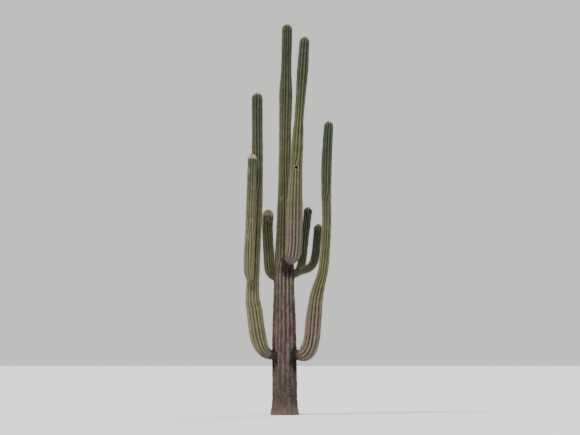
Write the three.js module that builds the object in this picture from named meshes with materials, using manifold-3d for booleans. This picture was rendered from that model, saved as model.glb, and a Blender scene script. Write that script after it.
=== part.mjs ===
// A mature saguaro cactus, rooted in level ground, as a three.js scene graph.
//
// Millimetres, +Z up, +X to the viewer's right and +Y away from the viewer. The origin is the
// centre of the flat cut at ground level. The trunk is one ribbed column. Each arm is two ribbed
// pieces: an elbow that swings out of the limb that carries it, and an upright that climbs from
// the end of that bend to a domed tip. Every piece is one closed solid.

import * as THREE from "three";
import { mergeVertices } from "three/addons/utils/BufferGeometryUtils.js";
import Module from "manifold-3d";

const wasm = await Module();
wasm.setup();

// Driving dimensions of the trunk
const PLANT_HEIGHT = 10500;
const TRUNK_LEAN = 60; // how far the tip stands to the right of the foot
const TRUNK_BOW = 30; // how far the middle bows back to the left of that
const TRUNK_RIBS = 16;
const TRUNK_GROOVE = 0.22; // depth of a groove as a share of the radius
// Radius of the rib crests at each height, from the root flare to the tip
const TRUNK_GIRTH = [
  [0, 392],
  [260, 352],
  [900, 334],
  [2100, 322],
  [3200, 284],
  [4400, 240],
  [5700, 182],
  [7700, 160],
  [8650, 176],
  [9250, 138],
  [10500, 136],
];
const BARK_HEIGHT = 2600; // the corky foot, where the grooves are shallow
const BARK_GROOVE = 0.35; // share of the groove that is left at the ground

// Driving dimensions of the arms. An arm leaves the centre line of its carrier at the height
// `joint`, rising at the slope `launch` in degrees, and its centre line bends up to the first
// station of `climb` and passes through the others to its tip. A station is its place to the
// right, its place to the back and its height. `neck` is the radius where it leaves its carrier
// and `girth` pairs a height with the radius of the rib crests, from the bend to the tip. `elbow`
// holds what the arm's bend has of its own in place of the values of ELBOW.
const ELBOW = {
  out: 0.88, // how far it runs outwards, as a share of its reach, before it turns
  up: 0.8, // how much of its rise comes after the turn
  neckEnd: 0.2, // share of its length where the neck begins to swell
  swellEnd: 0.62, // and where it has its full girth
};
const ARMS = [
  {
    name: "left_low_arm",
    carrier: "trunk",
    ribs: 13,
    joint: 1578,
    launch: -1,
    elbow: { out: 0.73, up: 0.95, neckEnd: 0.15 },
    climb: [
      [-805, -320, 2750],
      [-860, -350, 3350],
      [-745, -320, 5700],
      [-742, -310, 8600],
    ],
    neck: 118,
    girth: [
      [2750, 215],
      [3300, 178],
      [4500, 155],
      [6500, 148],
      [8600, 146],
    ],
  },
  {
    name: "left_low_branch",
    carrier: "left_low_arm",
    ribs: 12,
    joint: 3560,
    launch: -2,
    climb: [
      [-955, -705, 4230],
      [-915, -700, 5300],
      [-862, -690, 6920],
    ],
    neck: 92,
    girth: [
      [4230, 130],
      [4900, 120],
      [6000, 116],
      [6920, 122],
    ],
  },
  {
    name: "right_low_arm",
    carrier: "trunk",
    ribs: 13,
    joint: 1738,
    launch: -28,
    elbow: { out: 1, up: 0.65, neckEnd: 0.24, swellEnd: 0.42 },
    climb: [
      [770, -380, 2560],
      [850, -400, 3200],
      [1025, -440, 3900],
      [1110, -470, 5000],
      [1105, -480, 6500],
      [1175, -490, 7820],
    ],
    neck: 134,
    girth: [
      [2560, 213],
      [3150, 178],
      [3900, 134],
      [5000, 120],
      [6600, 140],
      [7400, 132],
      [7820, 122],
    ],
  },
  {
    name: "front_high_arm",
    carrier: "trunk",
    ribs: 13,
    joint: 4110,
    launch: -3,
    climb: [
      [252, -540, 4740],
      [282, -570, 5900],
      [345, -580, 7350],
      [535, -560, 10080],
    ],
    neck: 140,
    girth: [
      [4740, 208],
      [5700, 202],
      [6300, 172],
      [7200, 156],
      [7900, 122],
      [8700, 140],
      [9300, 150],
      [10080, 128],
    ],
  },
  {
    name: "left_high_arm",
    carrier: "trunk",
    ribs: 12,
    joint: 3690,
    launch: -8,
    climb: [
      [-425, 60, 4180],
      [-468, 70, 5000],
      [-445, 70, 5480],
    ],
    neck: 104,
    girth: [
      [4180, 146],
      [4800, 142],
      [5480, 160],
    ],
  },
  {
    name: "right_high_arm",
    carrier: "trunk",
    ribs: 12,
    joint: 3720,
    launch: 14,
    climb: [
      [838, -60, 4450],
      [900, -60, 5090],
    ],
    neck: 84,
    girth: [
      [4450, 112],
      [5090, 108],
    ],
  },
  {
    name: "back_high_arm",
    carrier: "trunk",
    ribs: 12,
    joint: 3700,
    launch: 4,
    climb: [
      [520, 690, 4600],
      [635, 740, 5600],
    ],
    neck: 86,
    girth: [
      [4600, 114],
      [5600, 114],
    ],
  },
];
const ARM_GROOVE = 0.24;

// How finely the limbs are cut
const RING_SPACING = 420; // along a trunk or an upright
const ELBOW_RINGS = 8;
const DOME_RINGS = 4;
const DOME_STRETCH = 1.2; // length of a domed tip in radii
const TIP_SHARE = 0.12; // radius of the small flat on a tip, as a share of the limb's
const CLEARANCE = 0.4; // between two pieces that touch
const SHARE_STEP = 1e-6; // how closely a place along a limb is found
const MERGE_DISTANCE = 1e-3; // vertices nearer than this are one

const STEM_GREEN = 0x55604a;
const CORKY_BROWN = 0x6b5c52;
const SKIN_ROUGHNESS = 0.85;

/** A smooth value through pairs of place and value, at a place between the first and the last. */
function smoothThrough(pairs, at) {
  const last = pairs.length - 2;
  let i = 0;
  while (i < last && at > pairs[i + 1][0]) i += 1;
  const slope = (a, b) => (pairs[b][1] - pairs[a][1]) / (pairs[b][0] - pairs[a][0]);
  const [from, to] = [pairs[i], pairs[i + 1]];
  const width = to[0] - from[0];
  const startSlope = slope(Math.max(i - 1, 0), i + 1);
  const endSlope = slope(i, Math.min(i + 2, pairs.length - 1));
  const t = THREE.MathUtils.clamp((at - from[0]) / width, 0, 1);
  const rest = 1 - t;
  return (
    from[1] * rest * rest * (1 + 2 * t) +
    to[1] * t * t * (3 - 2 * t) +
    width * t * rest * (startSlope * rest - endSlope * t)
  );
}

/** The trunk's centre line: a slight bow with a slight lean. */
class TrunkPath extends THREE.Curve {
  getPoint(t, target = new THREE.Vector3()) {
    const x = TRUNK_LEAN * t * t - TRUNK_BOW * Math.sin(Math.PI * t);
    return target.set(x, 0, PLANT_HEIGHT * t);
  }
}

/** An arm's centre line from its place on its carrier's axis, in the frame of that place. */
function armPath(arm, place) {
  const stations = arm.climb.map((station) => new THREE.Vector3(...station).sub(place));
  const bendTop = stations[0];
  const rising = stations[1].clone().sub(bendTop).normalize();
  const bend = { ...ELBOW, ...arm.elbow };
  const out = bend.out * Math.hypot(bendTop.x, bendTop.y);
  const away = new THREE.Vector3(bendTop.x, bendTop.y, 0).normalize();
  const slope = Math.tan(THREE.MathUtils.degToRad(arm.launch));
  const path = new THREE.CurvePath();
  path.add(
    new THREE.CubicBezierCurve3(
      new THREE.Vector3(),
      away.multiplyScalar(out).setZ(out * slope),
      bendTop.clone().addScaledVector(rising, -bend.up * bendTop.z),
      bendTop,
    ),
  );
  path.add(new THREE.CatmullRomCurve3(stations, false, "catmullrom"));
  return path;
}

/** Rings across a curve at the given shares of its length, each with a place and two cross axes. */
function ringsAlong(path, shares) {
  const side = new THREE.Vector3(0, 1, 0);
  return shares.map((share) => {
    const tangent = path.getTangentAt(share);
    side.addScaledVector(tangent, -side.dot(tangent)).normalize();
    return {
      share,
      centre: path.getPointAt(share),
      tangent,
      across: new THREE.Vector3().crossVectors(side, tangent),
      side: side.clone(),
    };
  });
}

/** Sets each ring's radius and groove, and rounds the limb off over its last stretch. */
function giveGirth(rings, length, radiusAt, grooveAt) {
  const domeLength = DOME_STRETCH * radiusAt(1);
  for (const ring of rings) {
    const intoDome = Math.max(0, 1 - ((1 - ring.share) * length) / domeLength);
    const rounding = Math.max(TIP_SHARE, Math.sqrt(1 - intoDome * intoDome));
    ring.radius = radiusAt(ring.share) * rounding;
    ring.groove = grooveAt(ring.share);
  }
  return rings;
}

/** Even shares along a shaft from `start`, then the closer shares of its domed tip. */
function shaftShares(start, length, tipRadius) {
  const dome = (DOME_STRETCH * tipRadius) / length;
  const steps = Math.ceil(((1 - dome - start) * length) / RING_SPACING);
  const shaft = Array.from({ length: steps + 1 }, (_, i) => start + ((1 - dome - start) * i) / steps);
  const tip = Array.from(
    { length: DOME_RINGS },
    (_, i) => 1 - dome * (1 - Math.sin(((i + 1) / DOME_RINGS) * (Math.PI / 2))),
  );
  return [...shaft, ...tip];
}

/** A closed ribbed column through the rings: an extruded star, its layers set on the rings. */
function ribbedColumn(rings, ribs, swell = 0) {
  const corners = Array.from({ length: 2 * ribs }, (_, i) => {
    const angle = (i * Math.PI) / ribs;
    return new THREE.Vector2(Math.cos(angle), Math.sin(angle));
  });
  const layers = rings.length - 1;
  const geometry = new THREE.ExtrudeGeometry(new THREE.Shape(corners), {
    steps: layers,
    depth: layers,
    bevelEnabled: false,
  });
  geometry.deleteAttribute("normal");
  geometry.deleteAttribute("uv");
  const position = geometry.getAttribute("position");
  const corner = new THREE.Vector3();
  const placed = new THREE.Vector3();
  for (let i = 0; i < position.count; i += 1) {
    corner.fromBufferAttribute(position, i);
    const ring = rings[Math.round(corner.z)];
    const place = Math.round((Math.atan2(corner.y, corner.x) * ribs) / Math.PI);
    const depth = place % 2 === 0 ? 1 : 1 - ring.groove;
    const radius = ring.radius * depth + swell;
    placed
      .copy(ring.centre)
      .addScaledVector(ring.across, corner.x * radius)
      .addScaledVector(ring.side, corner.y * radius);
    position.setXYZ(i, placed.x, placed.y, placed.z);
  }
  return mergeVertices(geometry, MERGE_DISTANCE);
}

/** A closed geometry as a solid that can be cut. */
function solidOf(geometry) {
  return new wasm.Manifold(
    new wasm.Mesh({
      numProp: 3,
      vertProperties: geometry.getAttribute("position").array,
      triVerts: new Uint32Array(geometry.index.array),
    }),
  );
}

/** A solid's largest body as a geometry. */
function geometryOf(solid) {
  const largest = solid.decompose().reduce((a, b) => (b.volume() > a.volume() ? b : a));
  const { vertProperties, triVerts } = largest.getMesh();
  return new THREE.BufferGeometry()
    .setAttribute("position", new THREE.BufferAttribute(vertProperties, 3))
    .setIndex(new THREE.BufferAttribute(triVerts, 1));
}

/** The share of a path's length at which it has climbed to a height. */
function shareAtHeight(path, height) {
  let [low, high] = [0, 1];
  while (high - low > SHARE_STEP) {
    const middle = (low + high) / 2;
    if (path.getPointAt(middle).z < height) low = middle;
    else high = middle;
  }
  return low;
}

/** A named mesh in the colour of the limb. */
function limbMesh(name, geometry, color) {
  const material = new THREE.MeshStandardMaterial({ color, roughness: SKIN_ROUGHNESS, metalness: 0 });
  const mesh = new THREE.Mesh(geometry, material);
  mesh.name = name;
  return mesh;
}

/** The trunk, from its flat cut and root flare to its tip. */
function makeTrunk() {
  const path = new TrunkPath();
  const tipRadius = TRUNK_GIRTH.at(-1)[1];
  const flareTop = TRUNK_GIRTH[1][0] / PLANT_HEIGHT;
  const shares = [0, ...shaftShares(flareTop, PLANT_HEIGHT, tipRadius)];
  const rings = giveGirth(
    ringsAlong(path, shares),
    PLANT_HEIGHT,
    (share) => smoothThrough(TRUNK_GIRTH, share * PLANT_HEIGHT),
    (share) => {
      const aboveBark = THREE.MathUtils.smoothstep(share * PLANT_HEIGHT, 0, BARK_HEIGHT);
      return TRUNK_GROOVE * THREE.MathUtils.lerp(BARK_GROOVE, 1, aboveBark);
    },
  );
  for (const axis of ["across", "side"]) rings[0][axis].z = 0; // the cut is level
  const group = new THREE.Group();
  group.add(limbMesh("trunk", ribbedColumn(rings, TRUNK_RIBS), CORKY_BROWN));
  const axisAt = (height) => path.getPointAt(shareAtHeight(path, height));
  const outer = ribbedColumn(rings, TRUNK_RIBS, CLEARANCE);
  return { group, place: new THREE.Vector3(), axisAt, outer };
}

/** The radius of an arm's rib crests at each share of its length. */
function armGirth(arm, path, place, bendShare) {
  const full = arm.girth[0][1];
  const bend = { ...ELBOW, ...arm.elbow };
  return (share) => {
    if (share > bendShare) return smoothThrough(arm.girth, path.getPointAt(share).z + place.z);
    const swollen = THREE.MathUtils.smoothstep(share / bendShare, bend.neckEnd, bend.swellEnd);
    return THREE.MathUtils.lerp(arm.neck, full, swollen);
  };
}

/** An arm as a group on its carrier, with an elbow cut clear of the carrier and an upright. */
function makeArm(arm, carrier) {
  const place = carrier.axisAt(arm.joint);
  const path = armPath(arm, place);
  const length = path.getLength();
  const bendShare = path.curves[0].getLength() / length;
  const tipRadius = arm.girth.at(-1)[1];
  const elbowShares = Array.from({ length: ELBOW_RINGS }, (_, i) => (bendShare * i) / ELBOW_RINGS);
  const rings = giveGirth(
    ringsAlong(path, [...elbowShares, ...shaftShares(bendShare, length, tipRadius)]),
    length,
    armGirth(arm, path, place, bendShare),
    () => ARM_GROOVE,
  );
  const group = new THREE.Group();
  group.position.copy(place).sub(carrier.place);

  const elbow = solidOf(ribbedColumn(rings.slice(0, ELBOW_RINGS + 1), arm.ribs));
  const clearOf = carrier.outer.clone().translate(...group.position.clone().negate().toArray());
  group.add(limbMesh(`${arm.name}_elbow`, geometryOf(elbow.subtract(solidOf(clearOf))), STEM_GREEN));

  const uprightRings = rings.slice(ELBOW_RINGS);
  const foot = uprightRings[0];
  uprightRings[0] = { ...foot, centre: foot.centre.clone().addScaledVector(foot.tangent, CLEARANCE) };
  group.add(limbMesh(`${arm.name}_upright`, ribbedColumn(uprightRings, arm.ribs), STEM_GREEN));
  const axisAt = (height) => path.getPointAt(shareAtHeight(path, height - place.z)).add(place);
  return { group, place, axisAt, outer: ribbedColumn(rings, arm.ribs, CLEARANCE) };
}

const limbs = { trunk: makeTrunk() };
for (const arm of ARMS) {
  const carrier = limbs[arm.carrier];
  limbs[arm.name] = makeArm(arm, carrier);
  carrier.group.add(limbs[arm.name].group);
}

const plant = new THREE.Group();
plant.add(limbs.trunk.group);

export default plant;
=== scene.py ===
"""Saguaro cactus: ribbed skins, areoles, spines and felted tips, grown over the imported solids.

Metres, +Z up, in the frame of the solids. Every limb follows the rule of its solids: a centre line
through a few stations, a girth that swells and narrows along it, and ribs that run from its root to
a domed tip. The skins add what the solids leave out: rounded ribs that merge, the corky bark of the
old trunk, collars and creases at the joints, and a nest hollow. Felt pads and clusters of spines
stand on the ribs.
"""

import logging
import math
from dataclasses import dataclass, field
from enum import Enum

import bpy
import numpy as np
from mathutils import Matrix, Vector


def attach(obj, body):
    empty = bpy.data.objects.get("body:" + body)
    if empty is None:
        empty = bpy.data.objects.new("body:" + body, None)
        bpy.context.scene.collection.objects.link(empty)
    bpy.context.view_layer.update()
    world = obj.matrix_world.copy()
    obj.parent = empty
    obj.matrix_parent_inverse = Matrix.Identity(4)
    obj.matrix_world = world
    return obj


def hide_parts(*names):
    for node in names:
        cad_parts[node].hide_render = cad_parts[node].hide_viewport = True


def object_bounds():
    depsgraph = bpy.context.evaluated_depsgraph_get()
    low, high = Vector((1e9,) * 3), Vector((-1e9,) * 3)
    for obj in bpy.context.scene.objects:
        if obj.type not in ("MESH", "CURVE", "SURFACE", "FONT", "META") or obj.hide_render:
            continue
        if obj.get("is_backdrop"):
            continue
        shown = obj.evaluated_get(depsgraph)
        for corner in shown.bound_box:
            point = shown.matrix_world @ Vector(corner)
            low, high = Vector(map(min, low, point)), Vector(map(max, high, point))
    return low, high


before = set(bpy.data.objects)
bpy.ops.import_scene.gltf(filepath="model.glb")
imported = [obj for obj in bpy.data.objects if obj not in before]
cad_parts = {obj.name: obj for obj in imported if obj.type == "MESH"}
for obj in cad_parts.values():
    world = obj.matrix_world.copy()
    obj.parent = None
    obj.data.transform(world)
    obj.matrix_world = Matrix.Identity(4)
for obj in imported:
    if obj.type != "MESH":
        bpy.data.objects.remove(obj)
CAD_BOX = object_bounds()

LOG = logging.getLogger("saguaro")
BODY = "root"
BAKE_MAP = "OFBake"
BAKE_MARGIN = 0.004  # left free at the edges of the bake map, as a share of its side
FULL_TURN = 2 * math.pi
QUARTER_TURN = math.pi / 2

Triple = tuple[float, float, float]
Colour = Triple
Range = tuple[float, float]
Pairs = tuple[tuple[float, float], ...]
Stations = tuple[Triple, ...]
Corners = tuple[tuple[int, int, int], ...]
Material = bpy.types.Material
Piece = bpy.types.Object
Socket = bpy.types.NodeSocket
Number = Socket | float
NOWHERE: Pairs = ((0.0, 0.0), (1.0, 0.0))  # a curve that stays at 0


class Slot(Enum):
    """The record's material slots."""

    TRUNK = "trunk_skin"
    ARM = "arm_skin"
    SPINES = "spines"
    FELT = "felt"


class Mark(Enum):
    """The numbers that a skin carries for its finish, from 0 to 1 apart from the last."""

    CREST = "crest"  # how near the crest of a rib
    BARK = "bark"  # how corky
    WEATHERED = "weathered"
    BLEACHED = "bleached"
    JOINT = "joint"  # how near the crease round an arm's root, where shade is painted
    YOUTH = "youth"
    FELTED = "felted"
    HOLLOW = "hollow"
    RIM = "rim"  # how near the callus rim of the hollow
    ALONG = "along"  # metres from the limb's root


def smoothstep(value: np.ndarray, low: float, high: float) -> np.ndarray:
    """Rises smoothly from 0 at low to 1 at high."""
    share = np.clip((value - low) / (high - low), 0.0, 1.0)
    return share * share * (3.0 - 2.0 * share)


def blend(first: np.ndarray, second: np.ndarray, share: np.ndarray) -> np.ndarray:
    """Goes from first at share 0 to second at share 1."""
    return first + (second - first) * share


def unit(vectors: np.ndarray) -> np.ndarray:
    """The same directions with length 1."""
    return vectors / np.linalg.norm(vectors, axis=-1, keepdims=True)


def square_to(vectors: np.ndarray, ways: np.ndarray) -> np.ndarray:
    """The directions nearest to some vectors that are square to some ways of length 1."""
    return unit(vectors - ways * np.sum(vectors * ways, axis=-1, keepdims=True))


def smooth_through(pairs: Pairs, at: np.ndarray) -> np.ndarray:
    """Reads a smooth curve through pairs of place and value, held flat past both ends.

    Args:
        pairs: The places, rising, and the values there.
        at: The places to read.

    Returns:
        The values at those places.
    """
    places, values = np.array(pairs).T
    last = len(places) - 1
    i = np.clip(np.searchsorted(places, at) - 1, 0, last - 1)
    before, after = np.maximum(i - 1, 0), np.minimum(i + 2, last)
    width = places[i + 1] - places[i]
    start_slope = (values[i + 1] - values[before]) / (places[i + 1] - places[before])
    end_slope = (values[after] - values[i]) / (places[after] - places[i])
    t = np.clip((at - places[i]) / width, 0.0, 1.0)
    rest = 1.0 - t
    held = values[i] * rest * rest * (1 + 2 * t) + values[i + 1] * t * t * (3 - 2 * t)
    return held + width * t * rest * (start_slope * rest - end_slope * t)


def bezier(corners: np.ndarray, count: int) -> np.ndarray:
    """Draws a cubic Bezier curve.

    Args:
        corners: Its four control points.
        count: How many points to give.

    Returns:
        Points along it, both ends included.
    """
    t = np.linspace(0.0, 1.0, count)[:, None]
    rest = 1.0 - t
    weights = (rest**3, 3 * rest**2 * t, 3 * rest * t**2, t**3)
    return sum(weight * corner for weight, corner in zip(weights, corners))


def spline(stations: np.ndarray, count: int) -> np.ndarray:
    """Draws a Catmull-Rom spline.

    Args:
        stations: The points that it goes through.
        count: How many points to give to each stretch.

    Returns:
        Points along it, both ends included.
    """
    first, last = 2 * stations[0] - stations[1], 2 * stations[-1] - stations[-2]
    padded = np.vstack([first, stations, last])
    t = np.linspace(0.0, 1.0, count, endpoint=False)[:, None]
    stretches = []
    for before, start, end, after in zip(padded, padded[1:], padded[2:], padded[3:]):
        leave, arrive = (end - before) / 2, (after - start) / 2
        cubic = 2 * (start - end) + leave + arrive
        square = 3 * (end - start) - 2 * leave - arrive
        stretches.append(((cubic * t + square) * t + leave) * t + start)
    return np.vstack([*stretches, stations[-1:]])


def add_object(name: str, data: bpy.types.ID) -> Piece:
    """Puts an object into the scene.

    Args:
        name: Its name.
        data: The mesh, light or camera that it shows.

    Returns:
        The object.
    """
    made = bpy.data.objects.new(name, data)
    bpy.context.scene.collection.objects.link(made)
    return made


@dataclass(frozen=True)
class LumpKind:
    """A kind of smooth lumps and dips along a limb."""

    reach: float  # how far they shift the skin, in metres, or sway the ribs, in radians
    length: float  # how long a lump is
    around: int = 0  # how many lumps fit round the limb
    per_rib: int = 0  # and how many more for each of its ribs


class Lumps:
    """Random lumps of one kind over a limb's skin, which join up all the way round it."""

    SPARE_ROWS = 3  # past the limb's tip

    def __init__(self, rng: np.random.Generator, kind: LumpKind, ribs: int, length: float) -> None:
        """Deals out their heights.

        Args:
            rng: The seeded source.
            kind: The kind of lumps.
            ribs: How many ribs the limb has.
            length: The length of the limb.
        """
        self.kind = kind
        self.around = kind.around + kind.per_rib * ribs
        rows = int(length / kind.length) + self.SPARE_ROWS
        self.heights = rng.uniform(-1.0, 1.0, (rows, self.around))

    def at(self, turn: np.ndarray, distance: np.ndarray) -> np.ndarray:
        """Reads the heights, which lie between -1 and 1.

        Args:
            turn: Angles round the limb.
            distance: Distances along it.

        Returns:
            The height at each place.
        """
        u = turn / FULL_TURN * self.around
        v = np.maximum(distance, 0.0) / self.kind.length
        column = np.floor(u).astype(int)
        row = np.minimum(np.floor(v).astype(int), len(self.heights) - 2)
        fu, fv = smoothstep(u - column, 0.0, 1.0), smoothstep(v - row, 0.0, 1.0)
        left, right = column % self.around, (column + 1) % self.around
        low = blend(self.heights[row, left], self.heights[row, right], fu)
        high = blend(self.heights[row + 1, left], self.heights[row + 1, right], fu)
        return blend(low, high, fv)

    def shift(self, turn: np.ndarray, distance: np.ndarray) -> np.ndarray:
        """How far the lumps shift what they lie on at some places."""
        return self.kind.reach * self.at(turn, distance)


@dataclass(frozen=True)
class RaggedEdge:
    """How the edge of a patch of skin strays up and down a limb."""

    reach: float  # how far it strays
    closer: float  # how much more often it does so than the limb swells


class CentreLine:
    """A limb's centre line: a place, a direction and two cross axes at any distance along it."""

    def __init__(self, points: np.ndarray, bend_length: float = 0.0) -> None:
        """Measures the line and carries its cross axes along it without twist.

        Args:
            points: Closely spaced points from the root to the tip.
            bend_length: How much of the line is the elbow.
        """
        steps = np.linalg.norm(np.diff(points, axis=0), axis=1)
        self.points = points
        self.distances = np.concatenate([[0.0], np.cumsum(steps)])
        self.length = float(self.distances[-1])
        self.bend_length = bend_length
        self.tangents = unit(np.gradient(points, self.distances, axis=0))
        self.turning = np.gradient(self.tangents, self.distances, axis=0)
        sides = []
        side = np.array([0.0, 1.0, 0.0])
        for tangent in self.tangents:
            side = unit(side - tangent * (side @ tangent))
            sides.append(side)
        self.sides = np.array(sides)

    def read(self, table: np.ndarray, distance: np.ndarray) -> np.ndarray:
        """Reads one of the line's tables of vectors at some distances."""
        return np.stack([np.interp(distance, self.distances, column) for column in table.T], axis=-1)

    def centre(self, distance: np.ndarray) -> np.ndarray:
        """The places at some distances."""
        return self.read(self.points, distance)

    def height(self, distance: np.ndarray) -> np.ndarray:
        """How high the line is at some distances."""
        return self.centre(distance)[..., 2]

    def axes(self, distance: np.ndarray) -> tuple[np.ndarray, np.ndarray]:
        """Reads the two axes across the limb.

        Args:
            distance: Distances along it.

        Returns:
            The axis at angle 0 and the axis at a quarter turn, at each distance.
        """
        tangent = unit(self.read(self.tangents, distance))
        side = square_to(self.read(self.sides, distance), tangent)
        return np.cross(side, tangent), side

    def distance_at_height(self, height: float) -> float:
        """How far along the limb it climbs past a height."""
        lowest = int(np.argmin(self.points[:, 2]))
        return float(np.interp(height, self.points[lowest:, 2], self.distances[lowest:]))


class Ribs:
    """Where a limb's ribs stand round it, all the way along. Some of them merge further up."""

    STEPS = (0.0, 0.22, 0.48, 0.76)  # the skin's columns from a crest to the foot of its groove
    CREST_ROUNDING = 0.34
    SHUT = 0.05  # width of a groove that has closed, as a share of an open one
    MERGE_BETWEEN = (0.35, 0.75)  # where grooves close, as shares of the limb's length
    MERGE_LENGTH = 0.45
    APART = 0.5  # two ribs have merged once the groove between them is less open than this
    SWAY = LumpKind(reach=0.07, length=1.1, around=1)
    UNEVEN = 0.08  # how much wider or narrower than usual a rib can be

    def __init__(self, count: int, merges: int, seed: int, length: float) -> None:
        """Chooses which grooves close, and how the ribs sway.

        Args:
            count: How many ribs the limb has at its root.
            merges: How many of its grooves close on the way up.
            seed: The seed of these choices.
            length: The limb's length.
        """
        rng = np.random.default_rng(seed)
        self.count = count
        grooves = rng.choice(count, merges, replace=False)
        lowest, highest = self.MERGE_BETWEEN
        places = rng.uniform(lowest * length, highest * length, merges)
        self.closing = dict(zip(grooves.tolist(), places.tolist()))
        self.widths = rng.uniform(1.0 - self.UNEVEN, 1.0 + self.UNEVEN, count)
        self.sway = Lumps(rng, self.SWAY, count, length)

    def openness(self, distance: np.ndarray) -> np.ndarray:
        """Tells how open each groove is.

        Args:
            distance: Distances along the limb.

        Returns:
            A row for each distance with a number from 0 to 1 for each groove.
        """
        opened = np.ones((len(distance), self.count))
        for groove, place in self.closing.items():
            opened[:, groove] = 1.0 - smoothstep(distance, place, place + self.MERGE_LENGTH)
        return opened

    def columns(self, distance: np.ndarray) -> tuple[np.ndarray, np.ndarray, np.ndarray]:
        """Lays out the skin's columns.

        Args:
            distance: Distances along the limb.

        Returns:
            For each distance and column its angle, how deep it lies in its groove from 0 on a crest
            to 1 at the foot of an open one, and how far from its crest it is, from 0 to 1.
        """
        opened = self.openness(distance)
        width = self.widths * np.maximum(opened, self.SHUT)
        down = np.array(self.STEPS)
        away = np.concatenate([down, [1.0], down[:0:-1]])
        offset = np.concatenate([down, [1.0], 2.0 - down[:0:-1]]) / 2
        floor = math.hypot(1.0, self.CREST_ROUNDING) - self.CREST_ROUNDING
        fall = (np.hypot(away, self.CREST_ROUNDING) - self.CREST_ROUNDING) / floor
        starts = np.cumsum(width, axis=1) - width
        turn = starts[:, :, None] + width[:, :, None] * offset
        turn = turn / width.sum(axis=1)[:, None, None] * FULL_TURN
        sway = self.sway.shift(0.0 * distance, distance)
        rows = len(distance)
        angle = turn.reshape(rows, -1) + sway[:, None]
        depth = (opened[:, :, None] * fall).reshape(rows, -1)
        return angle, depth, np.broadcast_to(away, turn.shape).reshape(rows, -1)

    def crests(self, distance: np.ndarray) -> tuple[np.ndarray, np.ndarray]:
        """Finds the crests.

        Args:
            distance: Distances along the limb.

        Returns:
            For each distance and rib the angle of its crest, and whether it stands apart from the
            rib before it.
        """
        angle = self.columns(distance)[0][:, :: 2 * len(self.STEPS)]
        apart = np.roll(self.openness(distance), 1, axis=1) > self.APART
        return angle, apart


@dataclass(frozen=True)
class Hollow:
    """A nest hollow on the viewer's side of a limb, with a callus rim round its mouth."""

    height: float
    radius: float = 0.042
    depth: float = 0.085
    rim: float = 0.011  # how far the rim stands out
    rim_at: float = 1.3  # where the rim is highest, in radii
    rim_width: float = 0.28  # in radii
    edge: Range = (0.8, 1.06)  # where the mouth is cut down from, and where it ends, in radii
    clear: float = 1.9  # no spines grow this near to it, in radii
    deepness: float = 0.25  # how much a gap towards the viewer counts beside one across

    def inside(self, share: np.ndarray) -> np.ndarray:
        """How far into the hollow places lie, by their radii from its middle."""
        return 1.0 - smoothstep(share, *self.edge)

    def on_rim(self, share: np.ndarray) -> np.ndarray:
        """How much of the rim there is at places, by their radii from its middle."""
        return np.exp(-(((share - self.rim_at) / self.rim_width) ** 2))


@dataclass
class MeshParts:
    """A mesh of triangles as plain arrays, ready to become a piece."""

    vertices: np.ndarray
    faces: np.ndarray
    marks: dict[Mark, np.ndarray] = field(default_factory=dict)
    tone_of_face: np.ndarray | None = None
    unrolled: np.ndarray | None = None  # a place on the flat for each corner of each face

    def mesh(self, name: str) -> bpy.types.Mesh:
        """Makes the mesh, smooth if it carries marks and with flat faces otherwise.

        Args:
            name: The mesh's name.

        Returns:
            The mesh, without a finish.
        """
        mesh = bpy.data.meshes.new(name)
        mesh.vertices.add(len(self.vertices))
        mesh.vertices.foreach_set("co", self.vertices.astype(np.float32).ravel())
        mesh.loops.add(self.faces.size)
        mesh.loops.foreach_set("vertex_index", self.faces.astype(np.int32).ravel())
        mesh.polygons.add(len(self.faces))
        mesh.polygons.foreach_set("loop_start", np.arange(0, self.faces.size, 3, dtype=np.int32))
        mesh.polygons.foreach_set("use_smooth", np.full(len(self.faces), bool(self.marks)))
        if self.tone_of_face is not None:
            mesh.polygons.foreach_set("material_index", self.tone_of_face.astype(np.int32))
        for mark, values in self.marks.items():
            attribute = mesh.attributes.new(mark.value, "FLOAT", "POINT")
            attribute.data.foreach_set("value", values.astype(np.float32).ravel())
        if self.unrolled is not None:
            layer = mesh.uv_layers.new(name=BAKE_MAP)
            layer.uv.foreach_set("vector", self.unrolled.astype(np.float32).ravel())
        return mesh

    def piece(self, name: str, slot: Slot, finishes: list[Material]) -> Piece:
        """Makes the piece that shows the mesh, riding on the plant's one body.

        Args:
            name: The piece's name.
            slot: The record's slot of its finish. Not used.
            finishes: Its materials, in the order of tone_of_face.

        Returns:
            The piece.
        """
        mesh = self.mesh(name)
        for finish in finishes:
            mesh.materials.append(finish)
        mesh.update()
        made = add_object(name, mesh)
        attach(made, BODY)
        return made


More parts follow.
